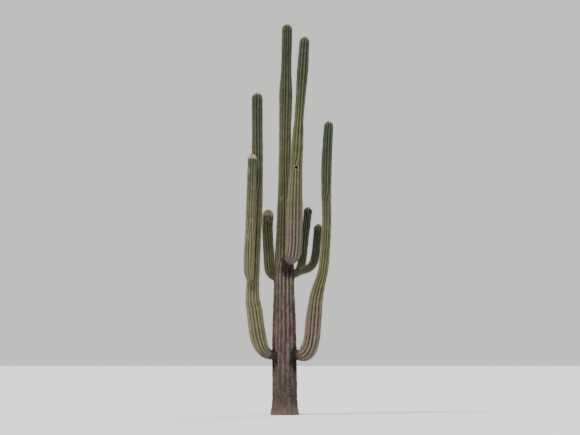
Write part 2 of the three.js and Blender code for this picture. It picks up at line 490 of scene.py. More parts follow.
@dataclass(kw_only=True)
class Limb:
    """A ribbed limb: its sizes, and the skin that is built from them.

    The girth pairs a height with the radius of the rib crests there. The weathering pairs a height
    with how brown and dull the skin has become there, the bleaching with how pale.
    """

    name: str
    ribs: int
    girth: Pairs
    seed: int
    groove: float = 0.24  # depth of the grooves as a share of the radius
    merges: int = 1
    hollow: Hollow | None = None
    dome_stretch: float = 1.2  # length of the domed tip in radii

    weathering: Pairs = NOWHERE
    weathering_edge: RaggedEdge = RaggedEdge(reach=0.4, closer=1.7)
    bleaching: Pairs = NOWHERE
    youth: float = 1.0  # how deep a green the young skin near the tip has
    youth_to: float = 0.25  # the skin is young this near to the tip
    youth_from: float = 3.0  # and no longer young this far from it
    felt: float = 0.4  # how much of the domed tip is under felt
    felt_edge: Range = (0.7, 1.1)  # where on the dome it would start and be whole if felt were 0
    felt_fringe: float = 0.2  # how much higher it starts in the grooves than on the crests

    swell: LumpKind = LumpKind(reach=0.006, length=0.55, around=3)
    pause: LumpKind = LumpKind(reach=0.003, length=0.12, around=1)
    dent: LumpKind = LumpKind(reach=0.0018, length=0.09, per_rib=2)
    flake: LumpKind = LumpKind(reach=0.006, length=0.11, per_rib=3)
    wrinkle: LumpKind = LumpKind(reach=0.0035, length=0.036, per_rib=1)
    relief_girth: float = 0.08  # where the tip is thinner than this, the relief fades out
    collar_rise: float = 0.014  # how far the collar round an arm's root stands out
    collar_reach: Range = (1.0, 2.1)  # where an arm's collar starts to fall, and ends, in neck radii
    collar_fill: float = 0.8  # the share of the grooves' depth that a collar fills
    painted_shadow_droop: float = 2.4  # the painted shade of the crease reaches so much further down, a painted shadow under the arm

    dome_rings: int = 12
    ring_spacing: float = 0.03
    fine_spacing: float = 0.009  # round the hollow
    probe_spacing: float = 0.05  # how finely the limb is cut where others are tested against it

    arms: "list[Arm]" = field(default_factory=list, init=False)

    def __post_init__(self) -> None:
        """Works out the centre line, the ribs and the lumps."""
        self.line = self.centre_line()
        self.dome = self.dome_stretch * self.girth[-1][1]
        self.rows = Ribs(self.ribs, self.merges, self.seed, self.line.length)
        rng = np.random.default_rng(self.seed + 1)
        kinds = (self.swell, self.pause, self.dent, self.flake, self.wrinkle)
        lumps = [Lumps(rng, kind, self.ribs, self.line.length) for kind in kinds]
        self.swells, self.pauses, self.dents, self.flakes, self.wrinkles = lumps

    @property
    def nodes(self) -> tuple[str, ...]:
        """The solids that the limb's skin stands for."""
        return (self.name,)

    @property
    def slot(self) -> Slot:
        """The material slot of the limb's skin."""
        return Slot.TRUNK

    def centre_line(self) -> CentreLine:
        """The limb's centre line, which each kind of limb draws in its own way."""
        raise NotImplementedError

    def girth_at(self, distance: np.ndarray) -> np.ndarray:
        """The radius of the rib crests at some distances."""
        return smooth_through(self.girth, self.line.height(distance)) * self.dome_at(distance)

    def into_dome(self, distance: np.ndarray) -> np.ndarray:
        """How far into the domed tip some distances are: 0 at its start and 1 at its top."""
        return 1.0 - (self.line.length - distance) / self.dome

    def dome_at(self, distance: np.ndarray) -> np.ndarray:
        """What the domed tip leaves of the radius at some distances."""
        into = np.clip(self.into_dome(distance), 0.0, 1.0)
        return np.sqrt(1.0 - into * into)

    def groove_at(self, distance: np.ndarray) -> np.ndarray:
        """The depth of the grooves at some distances, as a share of the radius."""
        return np.full(np.shape(distance), self.groove)

    def bark_at(self, angle: np.ndarray, distance: np.ndarray) -> np.ndarray:
        """How corky the skin is, from 0 to 1."""
        return np.zeros(np.broadcast(angle, distance).shape)

    def upright_at(self, distance: np.ndarray) -> np.ndarray:
        """How far the rings lean with the centre line, from 0 for level rings to 1."""
        return np.ones(np.shape(distance))

    def relief(self, angle: np.ndarray, distance: np.ndarray, outward: np.ndarray) -> np.ndarray:
        """Shapes the swells, yearly pauses and dents of the skin and the flakes of the bark.

        Args:
            angle: Angles round the limb.
            distance: Distances along it.
            outward: The direction out of the limb at each place.

        Returns:
            How far the skin stands out at each place, in metres.
        """
        broad = self.swells.shift(angle, distance) + self.pauses.shift(angle, distance)
        corky = self.flakes.shift(angle, distance) + self.wrinkles.shift(angle, distance)
        return broad + blend(self.dents.shift(angle, distance), corky, self.bark_at(angle, distance))

    def strays(self, edge: RaggedEdge, angle: np.ndarray, distance: np.ndarray) -> np.ndarray:
        """How far a ragged edge strays at some places, in metres."""
        return edge.reach * self.swells.at(angle, edge.closer * distance)

    def youth_at(self, distance: np.ndarray) -> np.ndarray:
        """How young and deep green the skin is at some distances, from 0 to 1."""
        from_tip = self.line.length - distance
        return self.youth * (1.0 - smoothstep(from_tip, self.youth_to, self.youth_from))

    def weathered_at(self, angle: np.ndarray, distance: np.ndarray) -> np.ndarray:
        """How weathered the skin is, from 0 to 1, with an uneven edge round the limb."""
        ragged = self.line.height(distance) + self.strays(self.weathering_edge, angle, distance)
        return smooth_through(self.weathering, ragged)

    def bleached_at(self, distance: np.ndarray) -> np.ndarray:
        """How far the sun has bleached the skin at some distances, from 0 to 1."""
        return smooth_through(self.bleaching, self.line.height(distance))

    def felted_at(self, distance: np.ndarray, away: np.ndarray) -> np.ndarray:
        """Tells how far the skin is under the felt of the tip.

        Args:
            distance: Distances along the limb.
            away: How far each place is from its crest.

        Returns:
            A number from 0 to 1 for each place.
        """
        starts, whole = self.felt_edge
        into = self.into_dome(distance) - self.felt_fringe * away
        return smoothstep(into, starts - self.felt, whole - self.felt)

    def collar_at(self, points: np.ndarray, droop: float = 1.0) -> np.ndarray:
        """Tells how near points are to the root of an arm.

        Args:
            points: The points.
            droop: How many times as far it reaches downwards.

        Returns:
            A number for each point, from 0 to 1 at an arm's neck.
        """
        share = np.zeros(points.shape[:-1])
        for arm in self.arms:
            away = points - arm.exit_point
            away[..., 2] /= np.where(away[..., 2] < 0.0, droop, 1.0)
            gap = np.linalg.norm(away, axis=-1) / arm.neck
            share = np.maximum(share, 1.0 - smoothstep(gap, *self.collar_reach))
        return share

    def painted_crease_shade_at(self, points: np.ndarray, distance: np.ndarray) -> np.ndarray:
        """How near places are to the crease round an arm's root, where shade is painted, from 0 to 1."""
        return self.collar_at(points, self.painted_shadow_droop)

    def surface(
        self, angle: np.ndarray, depth: np.ndarray, distance: np.ndarray
    ) -> tuple[np.ndarray, np.ndarray, np.ndarray]:
        """Finds places on the skin.

        Args:
            angle: Angles round the limb.
            depth: How deep each place lies in its groove, from 0 to 1.
            distance: Distances along the limb.

        Returns:
            The places, the directions straight out of the limb there, and how far each place lies
            in the limb's hollow.
        """
        across, side = self.line.axes(distance)
        outward = across * np.cos(angle)[..., None] + side * np.sin(angle)[..., None]
        outward[..., 2] *= self.upright_at(distance)
        centre, crest = self.line.centre(distance), self.girth_at(distance)
        collar = self.collar_at(centre + outward * crest[..., None])
        groove = self.groove_at(distance) * depth * (1.0 - self.collar_fill * collar)
        stands_out = self.relief(angle, distance, outward) + self.collar_rise * collar
        radius = crest * (1.0 - groove) + stands_out * smoothstep(crest, 0.0, self.relief_girth)
        return self.carved(centre + outward * radius[..., None], outward)

    def hollow_share(self, points: np.ndarray) -> np.ndarray:
        """Tells how far points are from the middle of the hollow's mouth.

        Args:
            points: The points.

        Returns:
            Their distances, in radii of the hollow.
        """
        distance = self.line.distance_at_height(self.hollow.height)
        mouth = self.line.centre(distance) - [0.0, self.girth_at(distance), 0.0]
        gaps = (points - mouth) * [1.0, self.hollow.deepness, 1.0]
        return np.linalg.norm(gaps, axis=-1) / self.hollow.radius

    def carved(
        self, points: np.ndarray, outward: np.ndarray
    ) -> tuple[np.ndarray, np.ndarray, np.ndarray]:
        """Cuts the limb's hollow into its skin.

        Args:
            points: Places on the skin.
            outward: The direction out of the limb at each of them.

        Returns:
            The places with the hollow and its rim, outward as it was, and how far each place lies in
            the hollow.
        """
        if self.hollow is None:
            return points, outward, np.zeros(points.shape[:-1])
        share = self.hollow_share(points)
        front = outward[..., 1] < 0.0
        inside = self.hollow.inside(share) * front
        move = self.hollow.rim * self.hollow.on_rim(share) * front - self.hollow.depth * inside
        return points + outward * move[..., None], outward, inside

    def rim_at(self, points: np.ndarray) -> np.ndarray:
        """Tells how much of the callus rim of the limb's hollow there is at some places.

        Args:
            points: The places.

        Returns:
            A number from 0 to 1 for each of them.
        """
        if self.hollow is None:
            return np.zeros(points.shape[:-1])
        return self.hollow.on_rim(self.hollow_share(points))

    def depth_of(self, points: np.ndarray) -> np.ndarray:
        """Tells how deep points lie inside this limb's rib crests.

        Args:
            points: The points.

        Returns:
            Their depths in metres, negative outside the limb.
        """
        distance = np.linspace(0.0, self.line.length, int(self.line.length / self.probe_spacing))
        gaps = np.linalg.norm(points[:, None, :] - self.line.centre(distance), axis=-1)
        return np.max(self.girth_at(distance) - gaps, axis=-1)

    def start(self) -> float:
        """Where along its centre line the skin starts."""
        return 0.0

    def spacing_at(self, distance: float) -> float:
        """Tells how far apart the skin's rings are.

        Args:
            distance: A distance along the limb.

        Returns:
            Their spacing there, which is fine beside the hollow.
        """
        if self.hollow is not None:
            mouth = self.line.distance_at_height(self.hollow.height)
            if abs(distance - mouth) < self.hollow.clear * self.hollow.radius:
                return self.fine_spacing
        return self.ring_spacing

    def ring_places(self) -> np.ndarray:
        """Spaces out the skin's rings.

        Returns:
            Their distances, from the limb's root to just under its tip.
        """
        start, end = self.start(), self.line.length - self.dome
        places = [start]
        while places[-1] < end:
            places.append(places[-1] + self.spacing_at(places[-1]))
        places = np.array(places)
        places = start + (places - start) * (end - start) / (places[-1] - start)
        turns = np.arange(1, self.dome_rings) / self.dome_rings * QUARTER_TURN
        return np.concatenate([places, end + self.dome * np.sin(turns)])

    def skin(self) -> MeshParts:
        """Builds the limb's skin as one closed mesh.

        Returns:
            The skin, with the marks that its finish reads.
        """
        rings = self.ring_places()
        angle, depth, away = self.rows.columns(rings)
        distance = np.broadcast_to(rings[:, None], angle.shape)
        points, _, hollow = self.surface(angle, depth, distance)
        read = {  # the mark on the tube, in the middle of its foot and at its tip
            Mark.CREST: (1.0 - away, 0.0, 1.0),
            Mark.BARK: (self.bark_at(angle, distance), 1.0, 0.0),
            Mark.WEATHERED: (self.weathered_at(angle, distance), 1.0, 0.0),
            Mark.BLEACHED: (self.bleached_at(distance), 0.0, 0.0),
            Mark.JOINT: (self.painted_crease_shade_at(points, distance), 0.0, 0.0),
            Mark.YOUTH: (self.youth_at(distance), 0.0, self.youth),
            Mark.FELTED: (self.felted_at(distance, away), 0.0, 1.0),
            Mark.HOLLOW: (hollow, 0.0, 0.0),
            Mark.RIM: (self.rim_at(points), 0.0, 0.0),
            Mark.ALONG: (distance, rings[0], self.line.length),
        }
        marks = {mark: np.append(grid.ravel(), ends) for mark, (grid, *ends) in read.items()}
        ends = np.array([self.line.centre(rings[0]), self.line.points[-1]])
        vertices = np.vstack([points.reshape(-1, 3), ends])
        unrolled = unroll(rings, self.girth_at(rings), angle.shape[1])
        return MeshParts(vertices, tube_faces(*angle.shape), marks, unrolled=unrolled)

    def dress(self, finish: Material) -> Piece:
        """Makes the limb's skin as a piece that stands for its solids.

        Args:
            finish: The skin's material.

        Returns:
            The piece.
        """
        made = self.skin().piece(f"{self.name}_skin", self.slot, [finish])
        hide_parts(*self.nodes)
        return made


@dataclass(kw_only=True)
class Trunk(Limb):
    """The trunk: a slight lean with a slight bow, and corky bark round its foot."""

    height: float
    lean: float
    bow: float
    line_points: int = 2001
    bark_groove_height: float = 2.6  # the grooves reach their full depth here
    bark_groove: float = 0.35  # share of their depth that they have at the ground
    bark_between: Range = (1.6, 4.9)  # the bark is whole up to the first height and gone at the second
    bark_edge: RaggedEdge = RaggedEdge(reach=0.9, closer=2.3)
    bark_spacing: float = 0.018
    level_height: float = 0.3  # the rings lie level at the ground and lean with the trunk from here

    def centre_line(self) -> CentreLine:
        """Draws the lean and the bow.

        Returns:
            The trunk's centre line, from the ground up.
        """
        t = np.linspace(0.0, 1.0, self.line_points)
        x = self.lean * t * t - self.bow * np.sin(math.pi * t)
        return CentreLine(np.stack([x, 0.0 * t, self.height * t], axis=1))

    def groove_at(self, distance: np.ndarray) -> np.ndarray:
        """The depth of the grooves, which fill up towards the ground."""
        above = smoothstep(distance, 0.0, self.bark_groove_height)
        return self.groove * blend(self.bark_groove, 1.0, above)

    def bark_at(self, angle: np.ndarray, distance: np.ndarray) -> np.ndarray:
        """How corky the skin is: all of it low down, then only patches."""
        ragged = distance + self.strays(self.bark_edge, angle, distance)
        return 1.0 - smoothstep(ragged, *self.bark_between)

    def upright_at(self, distance: np.ndarray) -> np.ndarray:
        """How far the rings lean with the centre line: not at all at the ground."""
        return smoothstep(distance, 0.0, self.level_height)

    def spacing_at(self, distance: float) -> float:
        """How far apart the skin's rings are, closer together on the bark."""
        return self.bark_spacing if distance < self.bark_between[1] else super().spacing_at(distance)


@dataclass(kw_only=True)
class Arm(Limb):
    """An arm. It leaves its carrier's centre line at a height and bends up to its first station."""

    carrier: Limb
    joint: float
    launch: float  # slope at the joint in degrees
    climb: Stations
    neck: float  # radius where it leaves its carrier
    elbow_out: float = 0.88  # how far it runs outwards before it turns, as a share of its reach
    elbow_up: float = 0.8  # how much of its rise comes after the turn
    swell_between: Range = (0.2, 0.62)  # where along the elbow the neck swells
    elbow_points: int = 400
    stretch_points: int = 300  # between two stations
    elbow_spacing: float = 0.02
    flake: LumpKind = LumpKind(reach=0.0035, length=0.11, per_rib=3)
    wrinkle: LumpKind = LumpKind(reach=0.0012, length=0.036, per_rib=1)
    neck_groove: float = 0.25  # share of the grooves' depth that is left where it leaves its carrier
    neck_groove_length: float = 0.4  # and how far out they reach their full depth
    neck_bark: float = 0.7  # how corky the neck is
    neck_bark_length: Range = (0.04, 0.34)  # how far out of the carrier that holds, and where it ends
    bark_edge: RaggedEdge = RaggedEdge(reach=0.12, closer=2.3)
    root_sink: float = 0.17  # how deep the skin starts inside its carrier
    crease: float = 0.007  # depth of the creases across the inside of the bend
    crease_length: float = 0.085  # from one crease to the next
    crease_onset: float = 2.0  # how soon a bend creases: at once where its radius is so many girths
    crease_wander: float = 3.0  # how far the creases stray, in radians
    painted_neck_shade: Range = (0.02, 0.24)  # how far out of its carrier the painted shade of the crease reaches

    def __post_init__(self) -> None:
        """Works out where the arm leaves its carrier, too."""
        super().__post_init__()
        places = np.linspace(0.0, self.line.bend_length, self.elbow_points)
        out = self.carrier.depth_of(self.line.centre(places)) < 0.0
        self.exit = float(places[np.argmax(out)])
        self.exit_point = self.line.centre(self.exit)
        self.carrier.arms.append(self)

    @property
    def nodes(self) -> tuple[str, ...]:
        """The solids that the arm's skin stands for."""
        return (f"{self.name}_elbow", f"{self.name}_upright")

    @property
    def slot(self) -> Slot:
        """The material slot of the arm's skin."""
        return Slot.ARM

    def centre_line(self) -> CentreLine:
        """Draws the elbow and the climb.

        Returns:
            Both as one line, from the carrier's centre line to the tip.
        """
        root = self.carrier.line.centre(self.carrier.line.distance_at_height(self.joint))
        stations = np.array(self.climb)
        bend_top, rising = stations[0], unit(stations[1] - stations[0])
        out = self.elbow_out * (bend_top - root) * [1.0, 1.0, 0.0]
        out[2] = np.linalg.norm(out) * math.tan(math.radians(self.launch))
        under = bend_top - rising * self.elbow_up * (bend_top - root)[2]
        elbow = bezier(np.array([root, root + out, under, bend_top]), self.elbow_points)
        bend_length = float(np.linalg.norm(np.diff(elbow, axis=0), axis=1).sum())
        return CentreLine(np.vstack([elbow[:-1], spline(stations, self.stretch_points)]), bend_length)

    def girth_at(self, distance: np.ndarray) -> np.ndarray:
        """Works out the radius of the rib crests, with the neck that swells through the elbow.

        Args:
            distance: Distances along the arm.

        Returns:
            The radius at each of them.
        """
        swollen = smoothstep(distance / self.line.bend_length, *self.swell_between)
        elbow = blend(self.neck, self.girth[0][1], swollen) * self.dome_at(distance)
        return np.where(distance > self.line.bend_length, super().girth_at(distance), elbow)

    def groove_at(self, distance: np.ndarray) -> np.ndarray:
        """The depth of the grooves, which are shallow at the neck."""
        past = smoothstep(distance - self.exit, 0.0, self.neck_groove_length)
        return self.groove * blend(self.neck_groove, 1.0, past)

    def bark_at(self, angle: np.ndarray, distance: np.ndarray) -> np.ndarray:
        """How corky the skin is: only round the neck."""
        past = distance - self.exit - self.neck + self.strays(self.bark_edge, angle, distance)
        return self.neck_bark * (1.0 - smoothstep(past, *self.neck_bark_length))

    def relief(self, angle: np.ndarray, distance: np.ndarray, outward: np.ndarray) -> np.ndarray:
        """Adds creases across the inside of the bend to the skin's relief.

        Args:
            angle: Angles round the limb.
            distance: Distances along it.
            outward: The direction out of the limb at each place.

        Returns:
            How far the skin stands out at each place, in metres.
        """
        bend = np.sum(self.line.read(self.line.turning, distance) * outward, axis=-1)
        inner = np.clip(bend * self.girth_at(distance) * self.crease_onset, 0.0, 1.0)
        wander = self.crease_wander * self.swells.at(angle, distance)
        fold = np.cos(FULL_TURN * distance / self.crease_length + wander)
        return super().relief(angle, distance, outward) + self.crease * inner * fold

    def painted_crease_shade_at(self, points: np.ndarray, distance: np.ndarray) -> np.ndarray:
        """How near places are to a joint, where shade is painted, the arm's own among them."""
        own = 1.0 - smoothstep(distance - self.exit, *self.painted_neck_shade)
        return np.maximum(super().painted_crease_shade_at(points, distance), own)

    def start(self) -> float:
        """Where along its centre line the skin starts, out of sight inside the carrier."""
        return max(self.exit - self.root_sink, 0.0)

    def spacing_at(self, distance: float) -> float:
        """How far apart the skin's rings are, closer together on the elbow."""
        return self.elbow_spacing if distance < self.line.bend_length else super().spacing_at(distance)


def tube_faces(rings: int, columns: int) -> np.ndarray:
    """Joins rings of points to a tube that is closed by a middle point at each end.

    Args:
        rings: How many rings there are.
        columns: How many points each has.

    Returns:
        The corners of each triangle: the tube, row by row, then its foot and its tip.
    """
    here = np.arange(columns)
    after = (here + 1) % columns
    rows = np.arange(rings - 1)[:, None] * columns
    low, low_after = rows + here, rows + after
    high, high_after = low + columns, low_after + columns
    first = np.stack([low, low_after, high_after], axis=-1)
    second = np.stack([low, high_after, high], axis=-1)
    tube = np.stack([first, second], axis=2).reshape(-1, 3)
    top, middle = (rings - 1) * columns, rings * columns
    foot = np.stack([after, here, np.full(columns, middle)], axis=-1)
    tip = np.stack([top + here, top + after, np.full(columns, middle + 1)], axis=-1)
    return np.vstack([tube, foot, tip])


def unroll(rings: np.ndarray, girths: np.ndarray, columns: int) -> np.ndarray:
    """Lays a tube's triangles flat, cut into lengths that lie side by side in a square.

    Args:
        rings: The distance of each ring along the tube.
        girths: The tube's radius at each ring.
        columns: How many points each ring has.

    Returns:
        A place in the unit square for each corner of each triangle of tube_faces.
    """
    steps = np.hypot(np.diff(rings), np.diff(girths))
    places = np.concatenate([[0.0], np.cumsum(steps)]) + girths[0]
    length = places[-1] + girths[-1]
    strips = max(1, round(math.sqrt(length / (FULL_TURN * girths.mean()))))
    strip_length = length / strips
    overhang = 2 * steps.max()  # a row of triangles that crosses a strip's end isn't cut

    def lay(turn: np.ndarray, place: np.ndarray, row_place: np.ndarray) -> np.ndarray:
        """Puts corners on the strip that their row belongs to.

        Args:
            turn: How many columns round the tube each corner is.
            place: How far along the unrolled tube it is.
            row_place: How far along the row of its triangle starts.

        Returns:
            The corners' places in the square.
        """
        strip = np.minimum(row_place // strip_length, strips - 1)
        margin = BAKE_MARGIN * strips
        u = (strip + margin + turn / columns * (1.0 - 2 * margin)) / strips
        v = (place - strip * strip_length) / (strip_length + overhang)
        return np.stack(np.broadcast_arrays(u, BAKE_MARGIN + v * (1.0 - 2 * BAKE_MARGIN)), axis=-1)

    turn = np.arange(columns)
    corner_turn = np.stack([turn, turn + 1, turn + 1, turn, turn + 1, turn], axis=-1)
    rise = np.array([0, 0, 1, 0, 1, 1])
    row = np.arange(len(rings) - 1)
    corner_place = places[row[:, None] + rise]
    tube = lay(corner_turn[None], corner_place[:, None], places[row][:, None, None])
    foot_turn = np.stack([turn + 1, turn, turn + 0.5], axis=-1)
    foot = lay(foot_turn, np.array([places[0], places[0], 0.0]), 0.0)
    tip_turn = np.stack([turn, turn + 1, turn + 0.5], axis=-1)
    tip = lay(tip_turn, np.array([places[-1], places[-1], length]), places[-1])
    return np.vstack([tube.reshape(-1, 2), foot.reshape(-1, 2), tip.reshape(-1, 2)])


class Operation(Enum):
    """What a material does with numbers."""

    ADD = "ADD"
    SUBTRACT = "SUBTRACT"
    MULTIPLY = "MULTIPLY"
    ABSOLUTE = "ABSOLUTE"
    COSINE = "COSINE"


class Mixing(Enum):
    """How a colour is laid over another: so that it covers it, or as a glaze that darkens it."""

    COVER = "MIX"
    GLAZE = "MULTIPLY"


@dataclass(frozen=True)
class Pattern:
    """A noise pattern, from 0 to 1."""

    scale: float  # lumps to a metre
    detail: float  # how many finer layers it has
    squeeze: Triple = (1.0, 1.0, 1.0)  # how much closer together the lumps are along each axis
    warp: float = 0.0  # how far its places are pushed about, in lumps


@dataclass(frozen=True)
class Stain:
    """A colour that is laid over another where a number is in a range."""

    colour: Colour
    between: Range  # where the stain starts and where it is whole
    strength: float = 1.0
    mixing: Mixing = Mixing.COVER


@dataclass(frozen=True)
class Patch:
    """How a patch that a mark gives gets a ragged edge from a pattern."""

    raggedness: float  # how much the pattern adds to the mark or takes off it
    between: Range  # where their sum starts the patch, and where it is whole
    limit: Range  # there is no patch where the mark itself is under the first of these


class NodeBench:
    """Makes one material and joins up its nodes."""

    MIDDLE = 0.5  # the middle of a noise pattern

    def __init__(self, name: str, roughness: float, specular: float) -> None:
        """Starts the material with a bare shader.

        Args:
            name: The material's name.
            roughness: The shader's roughness where nothing drives it.
            specular: The shader's specular level.
        """
        self.material = bpy.data.materials.new(name)
        self.material.use_nodes = True
        self.tree = self.material.node_tree
        self.shader = next(n for n in self.tree.nodes if n.type == "BSDF_PRINCIPLED")
        self.shader.inputs["Roughness"].default_value = roughness
        self.shader.inputs["Specular IOR Level"].default_value = specular
        self.places = self.tree.nodes.new("ShaderNodeTexCoord").outputs["Object"]

    def feed(self, socket: Socket, value: Number | Colour) -> None:
        """Joins a node's output to a socket, or sets the socket to a number or a colour.

        Args:
            socket: The socket to feed.
            value: The output, number or colour.
        """
        if isinstance(value, bpy.types.NodeSocket):
            self.tree.links.new(value, socket)
        elif isinstance(value, tuple) and len(value) < len(socket.default_value):
            socket.default_value = (*value, 1.0)
        else:
            socket.default_value = value

    def attribute(self, mark: Mark) -> Socket:
        """Reads a mark that the mesh carries.

        Args:
            mark: The mark.

        Returns:
            Its number.
        """
        node = self.tree.nodes.new("ShaderNodeAttribute")
        node.attribute_name = mark.value
        return node.outputs["Fac"]

    def height(self) -> Socket:
        """Reads the height above the ground.

        Returns:
            The height, in metres.
        """
        node = self.tree.nodes.new("ShaderNodeSeparateXYZ")
        self.feed(node.inputs["Vector"], self.places)
        return node.outputs["Z"]

    def noise(self, pattern: Pattern) -> Socket:
        """Adds a noise pattern.

        Args:
            pattern: Its sizes.

        Returns:
            The pattern, from 0 to 1.
        """
        mapping = self.tree.nodes.new("ShaderNodeMapping")
        self.feed(mapping.inputs["Vector"], self.places)
        self.feed(mapping.inputs["Scale"], pattern.squeeze)
        node = self.tree.nodes.new("ShaderNodeTexNoise")
        self.feed(node.inputs["Vector"], mapping.outputs["Vector"])
        self.feed(node.inputs["Scale"], pattern.scale)
        self.feed(node.inputs["Detail"], pattern.detail)
        self.feed(node.inputs["Distortion"], pattern.warp)
        return node.outputs["Fac"]

    def lines(self, pattern: Pattern, width: float) -> Socket:
        """Adds a pattern of thin wandering lines, where a noise crosses its middle.

        Args:
            pattern: The sizes of the noise.
            width: How wide the lines are, as a share of its range.

        Returns:
            The pattern, from 1 in the middle of a line to 0 beside it.
        """
        off_middle = self.reckon(Operation.ABSOLUTE, self.minus(self.noise(pattern), self.MIDDLE))
        return self.rise(off_middle, (width, 0.0))

    def bands(self, value: Socket, scale: float) -> Socket:
        """Adds bands of random strength along a number.

        Args:
            value: The number.
            scale: How many bands there are where it grows by 1.

        Returns:
            The pattern, from 0 to 1.
        """
        node = self.tree.nodes.new("ShaderNodeTexNoise")
        node.noise_dimensions = "1D"
        self.feed(node.inputs["W"], value)
        self.feed(node.inputs["Scale"], scale)
        return node.outputs["Fac"]

    def rise(self, value: Socket, between: Range) -> Socket:
        """Turns a number into a smooth rise.

        Args:
            value: The number.
            between: Where the result is 0 and where it is 1. It falls if the first is the larger.

        Returns:
            A number from 0 to 1.
        """
        node = self.tree.nodes.new("ShaderNodeMapRange")
        node.interpolation_type = "SMOOTHSTEP"
        self.feed(node.inputs["Value"], value)
        self.feed(node.inputs["From Min"], between[0])
        self.feed(node.inputs["From Max"], between[1])
        return node.outputs["Result"]

    def reckon(self, operation: Operation, first: Number, second: Number = 0.0) -> Socket:
        """Works out a number.

        Args:
            operation: What to do.
            first: The number to do it to.
            second: The other number, where there is one.

        Returns:
            The result.
        """
        node = self.tree.nodes.new("ShaderNodeMath")
        node.operation = operation.value
        self.feed(node.inputs[0], first)
        self.feed(node.inputs[1], second)
        return node.outputs["Value"]

    def plus(self, first: Number, second: Number) -> Socket:
        """The sum of two numbers."""
        return self.reckon(Operation.ADD, first, second)

    def minus(self, first: Number, second: Number) -> Socket:
        """The first number less the second."""
        return self.reckon(Operation.SUBTRACT, first, second)

    def times(self, first: Number, second: Number) -> Socket:
        """The product of two numbers."""
        return self.reckon(Operation.MULTIPLY, first, second)

    def patch(self, mark: Socket, pattern: Socket, patch: Patch) -> Socket:
        """Gives a patch a ragged edge.

        Args:
            mark: The mark that tells where it is.
            pattern: The pattern that makes it ragged.
            patch: How ragged it is.

        Returns:
            How much of the patch there is, from 0 to 1.
        """
        uneven = self.times(self.minus(pattern, self.MIDDLE), patch.raggedness)
        ragged = self.rise(self.plus(mark, uneven), patch.between)
        return self.times(ragged, self.rise(mark, patch.limit))

    def mix_numbers(self, share: Number, first: Number, second: Number) -> Socket:
        """Mixes two numbers.

        Args:
            share: How much of the second there is.
            first: The first number.
            second: The second number.

        Returns:
            The mixed number.
        """
        node = self.tree.nodes.new("ShaderNodeMix")
        self.feed(node.inputs["Factor"], share)
        self.feed(node.inputs["A"], first)
        self.feed(node.inputs["B"], second)
        return node.outputs["Result"]

    def mix(
        self,
        share: Number,
        first: Socket | Colour,
        second: Socket | Colour,
        mixing: Mixing = Mixing.COVER,
    ) -> Socket:
        """Mixes two colours.

        Args:
            share: How much of the second there is.
            first: The first colour.
            second: The second colour.
            mixing: How it is laid over the first.

        Returns:
            The mixed colour.
        """
        node = self.tree.nodes.new("ShaderNodeMix")
        node.data_type = "RGBA"
        node.blend_type = mixing.value
        self.feed(node.inputs["Factor"], share)
        self.feed(node.inputs["A"], first)
        self.feed(node.inputs["B"], second)
        return node.outputs["Result"]

    def stain(
        self,
        under: Socket | Colour,
        stain: Stain,
        where: Socket,
        held: Socket | None = None,
    ) -> Socket:
        """Lays a stain over a colour.

        Args:
            under: The colour.
            stain: The stain.
            where: The number that it goes by.
            held: The share of it that is laid, where that isn't all of it.

        Returns:
            The stained colour.
        """
        share = self.times(self.rise(where, stain.between), stain.strength)
        if held is not None:
            share = self.times(share, held)
        return self.mix(share, under, stain.colour, stain.mixing)

    def bump(self, height: Socket, strength: float, distance: float) -> None:
        """Lets a pattern of heights roughen the shader.

        Args:
            height: The heights, from 0 to 1.
            strength: How much of them is used.
            distance: What a height of 1 stands for in metres.
        """
        node = self.tree.nodes.new("ShaderNodeBump")
        self.feed(node.inputs["Height"], height)
        self.feed(node.inputs["Strength"], strength)
        self.feed(node.inputs["Distance"], distance)
        self.feed(self.shader.inputs["Normal"], node.outputs["Normal"])


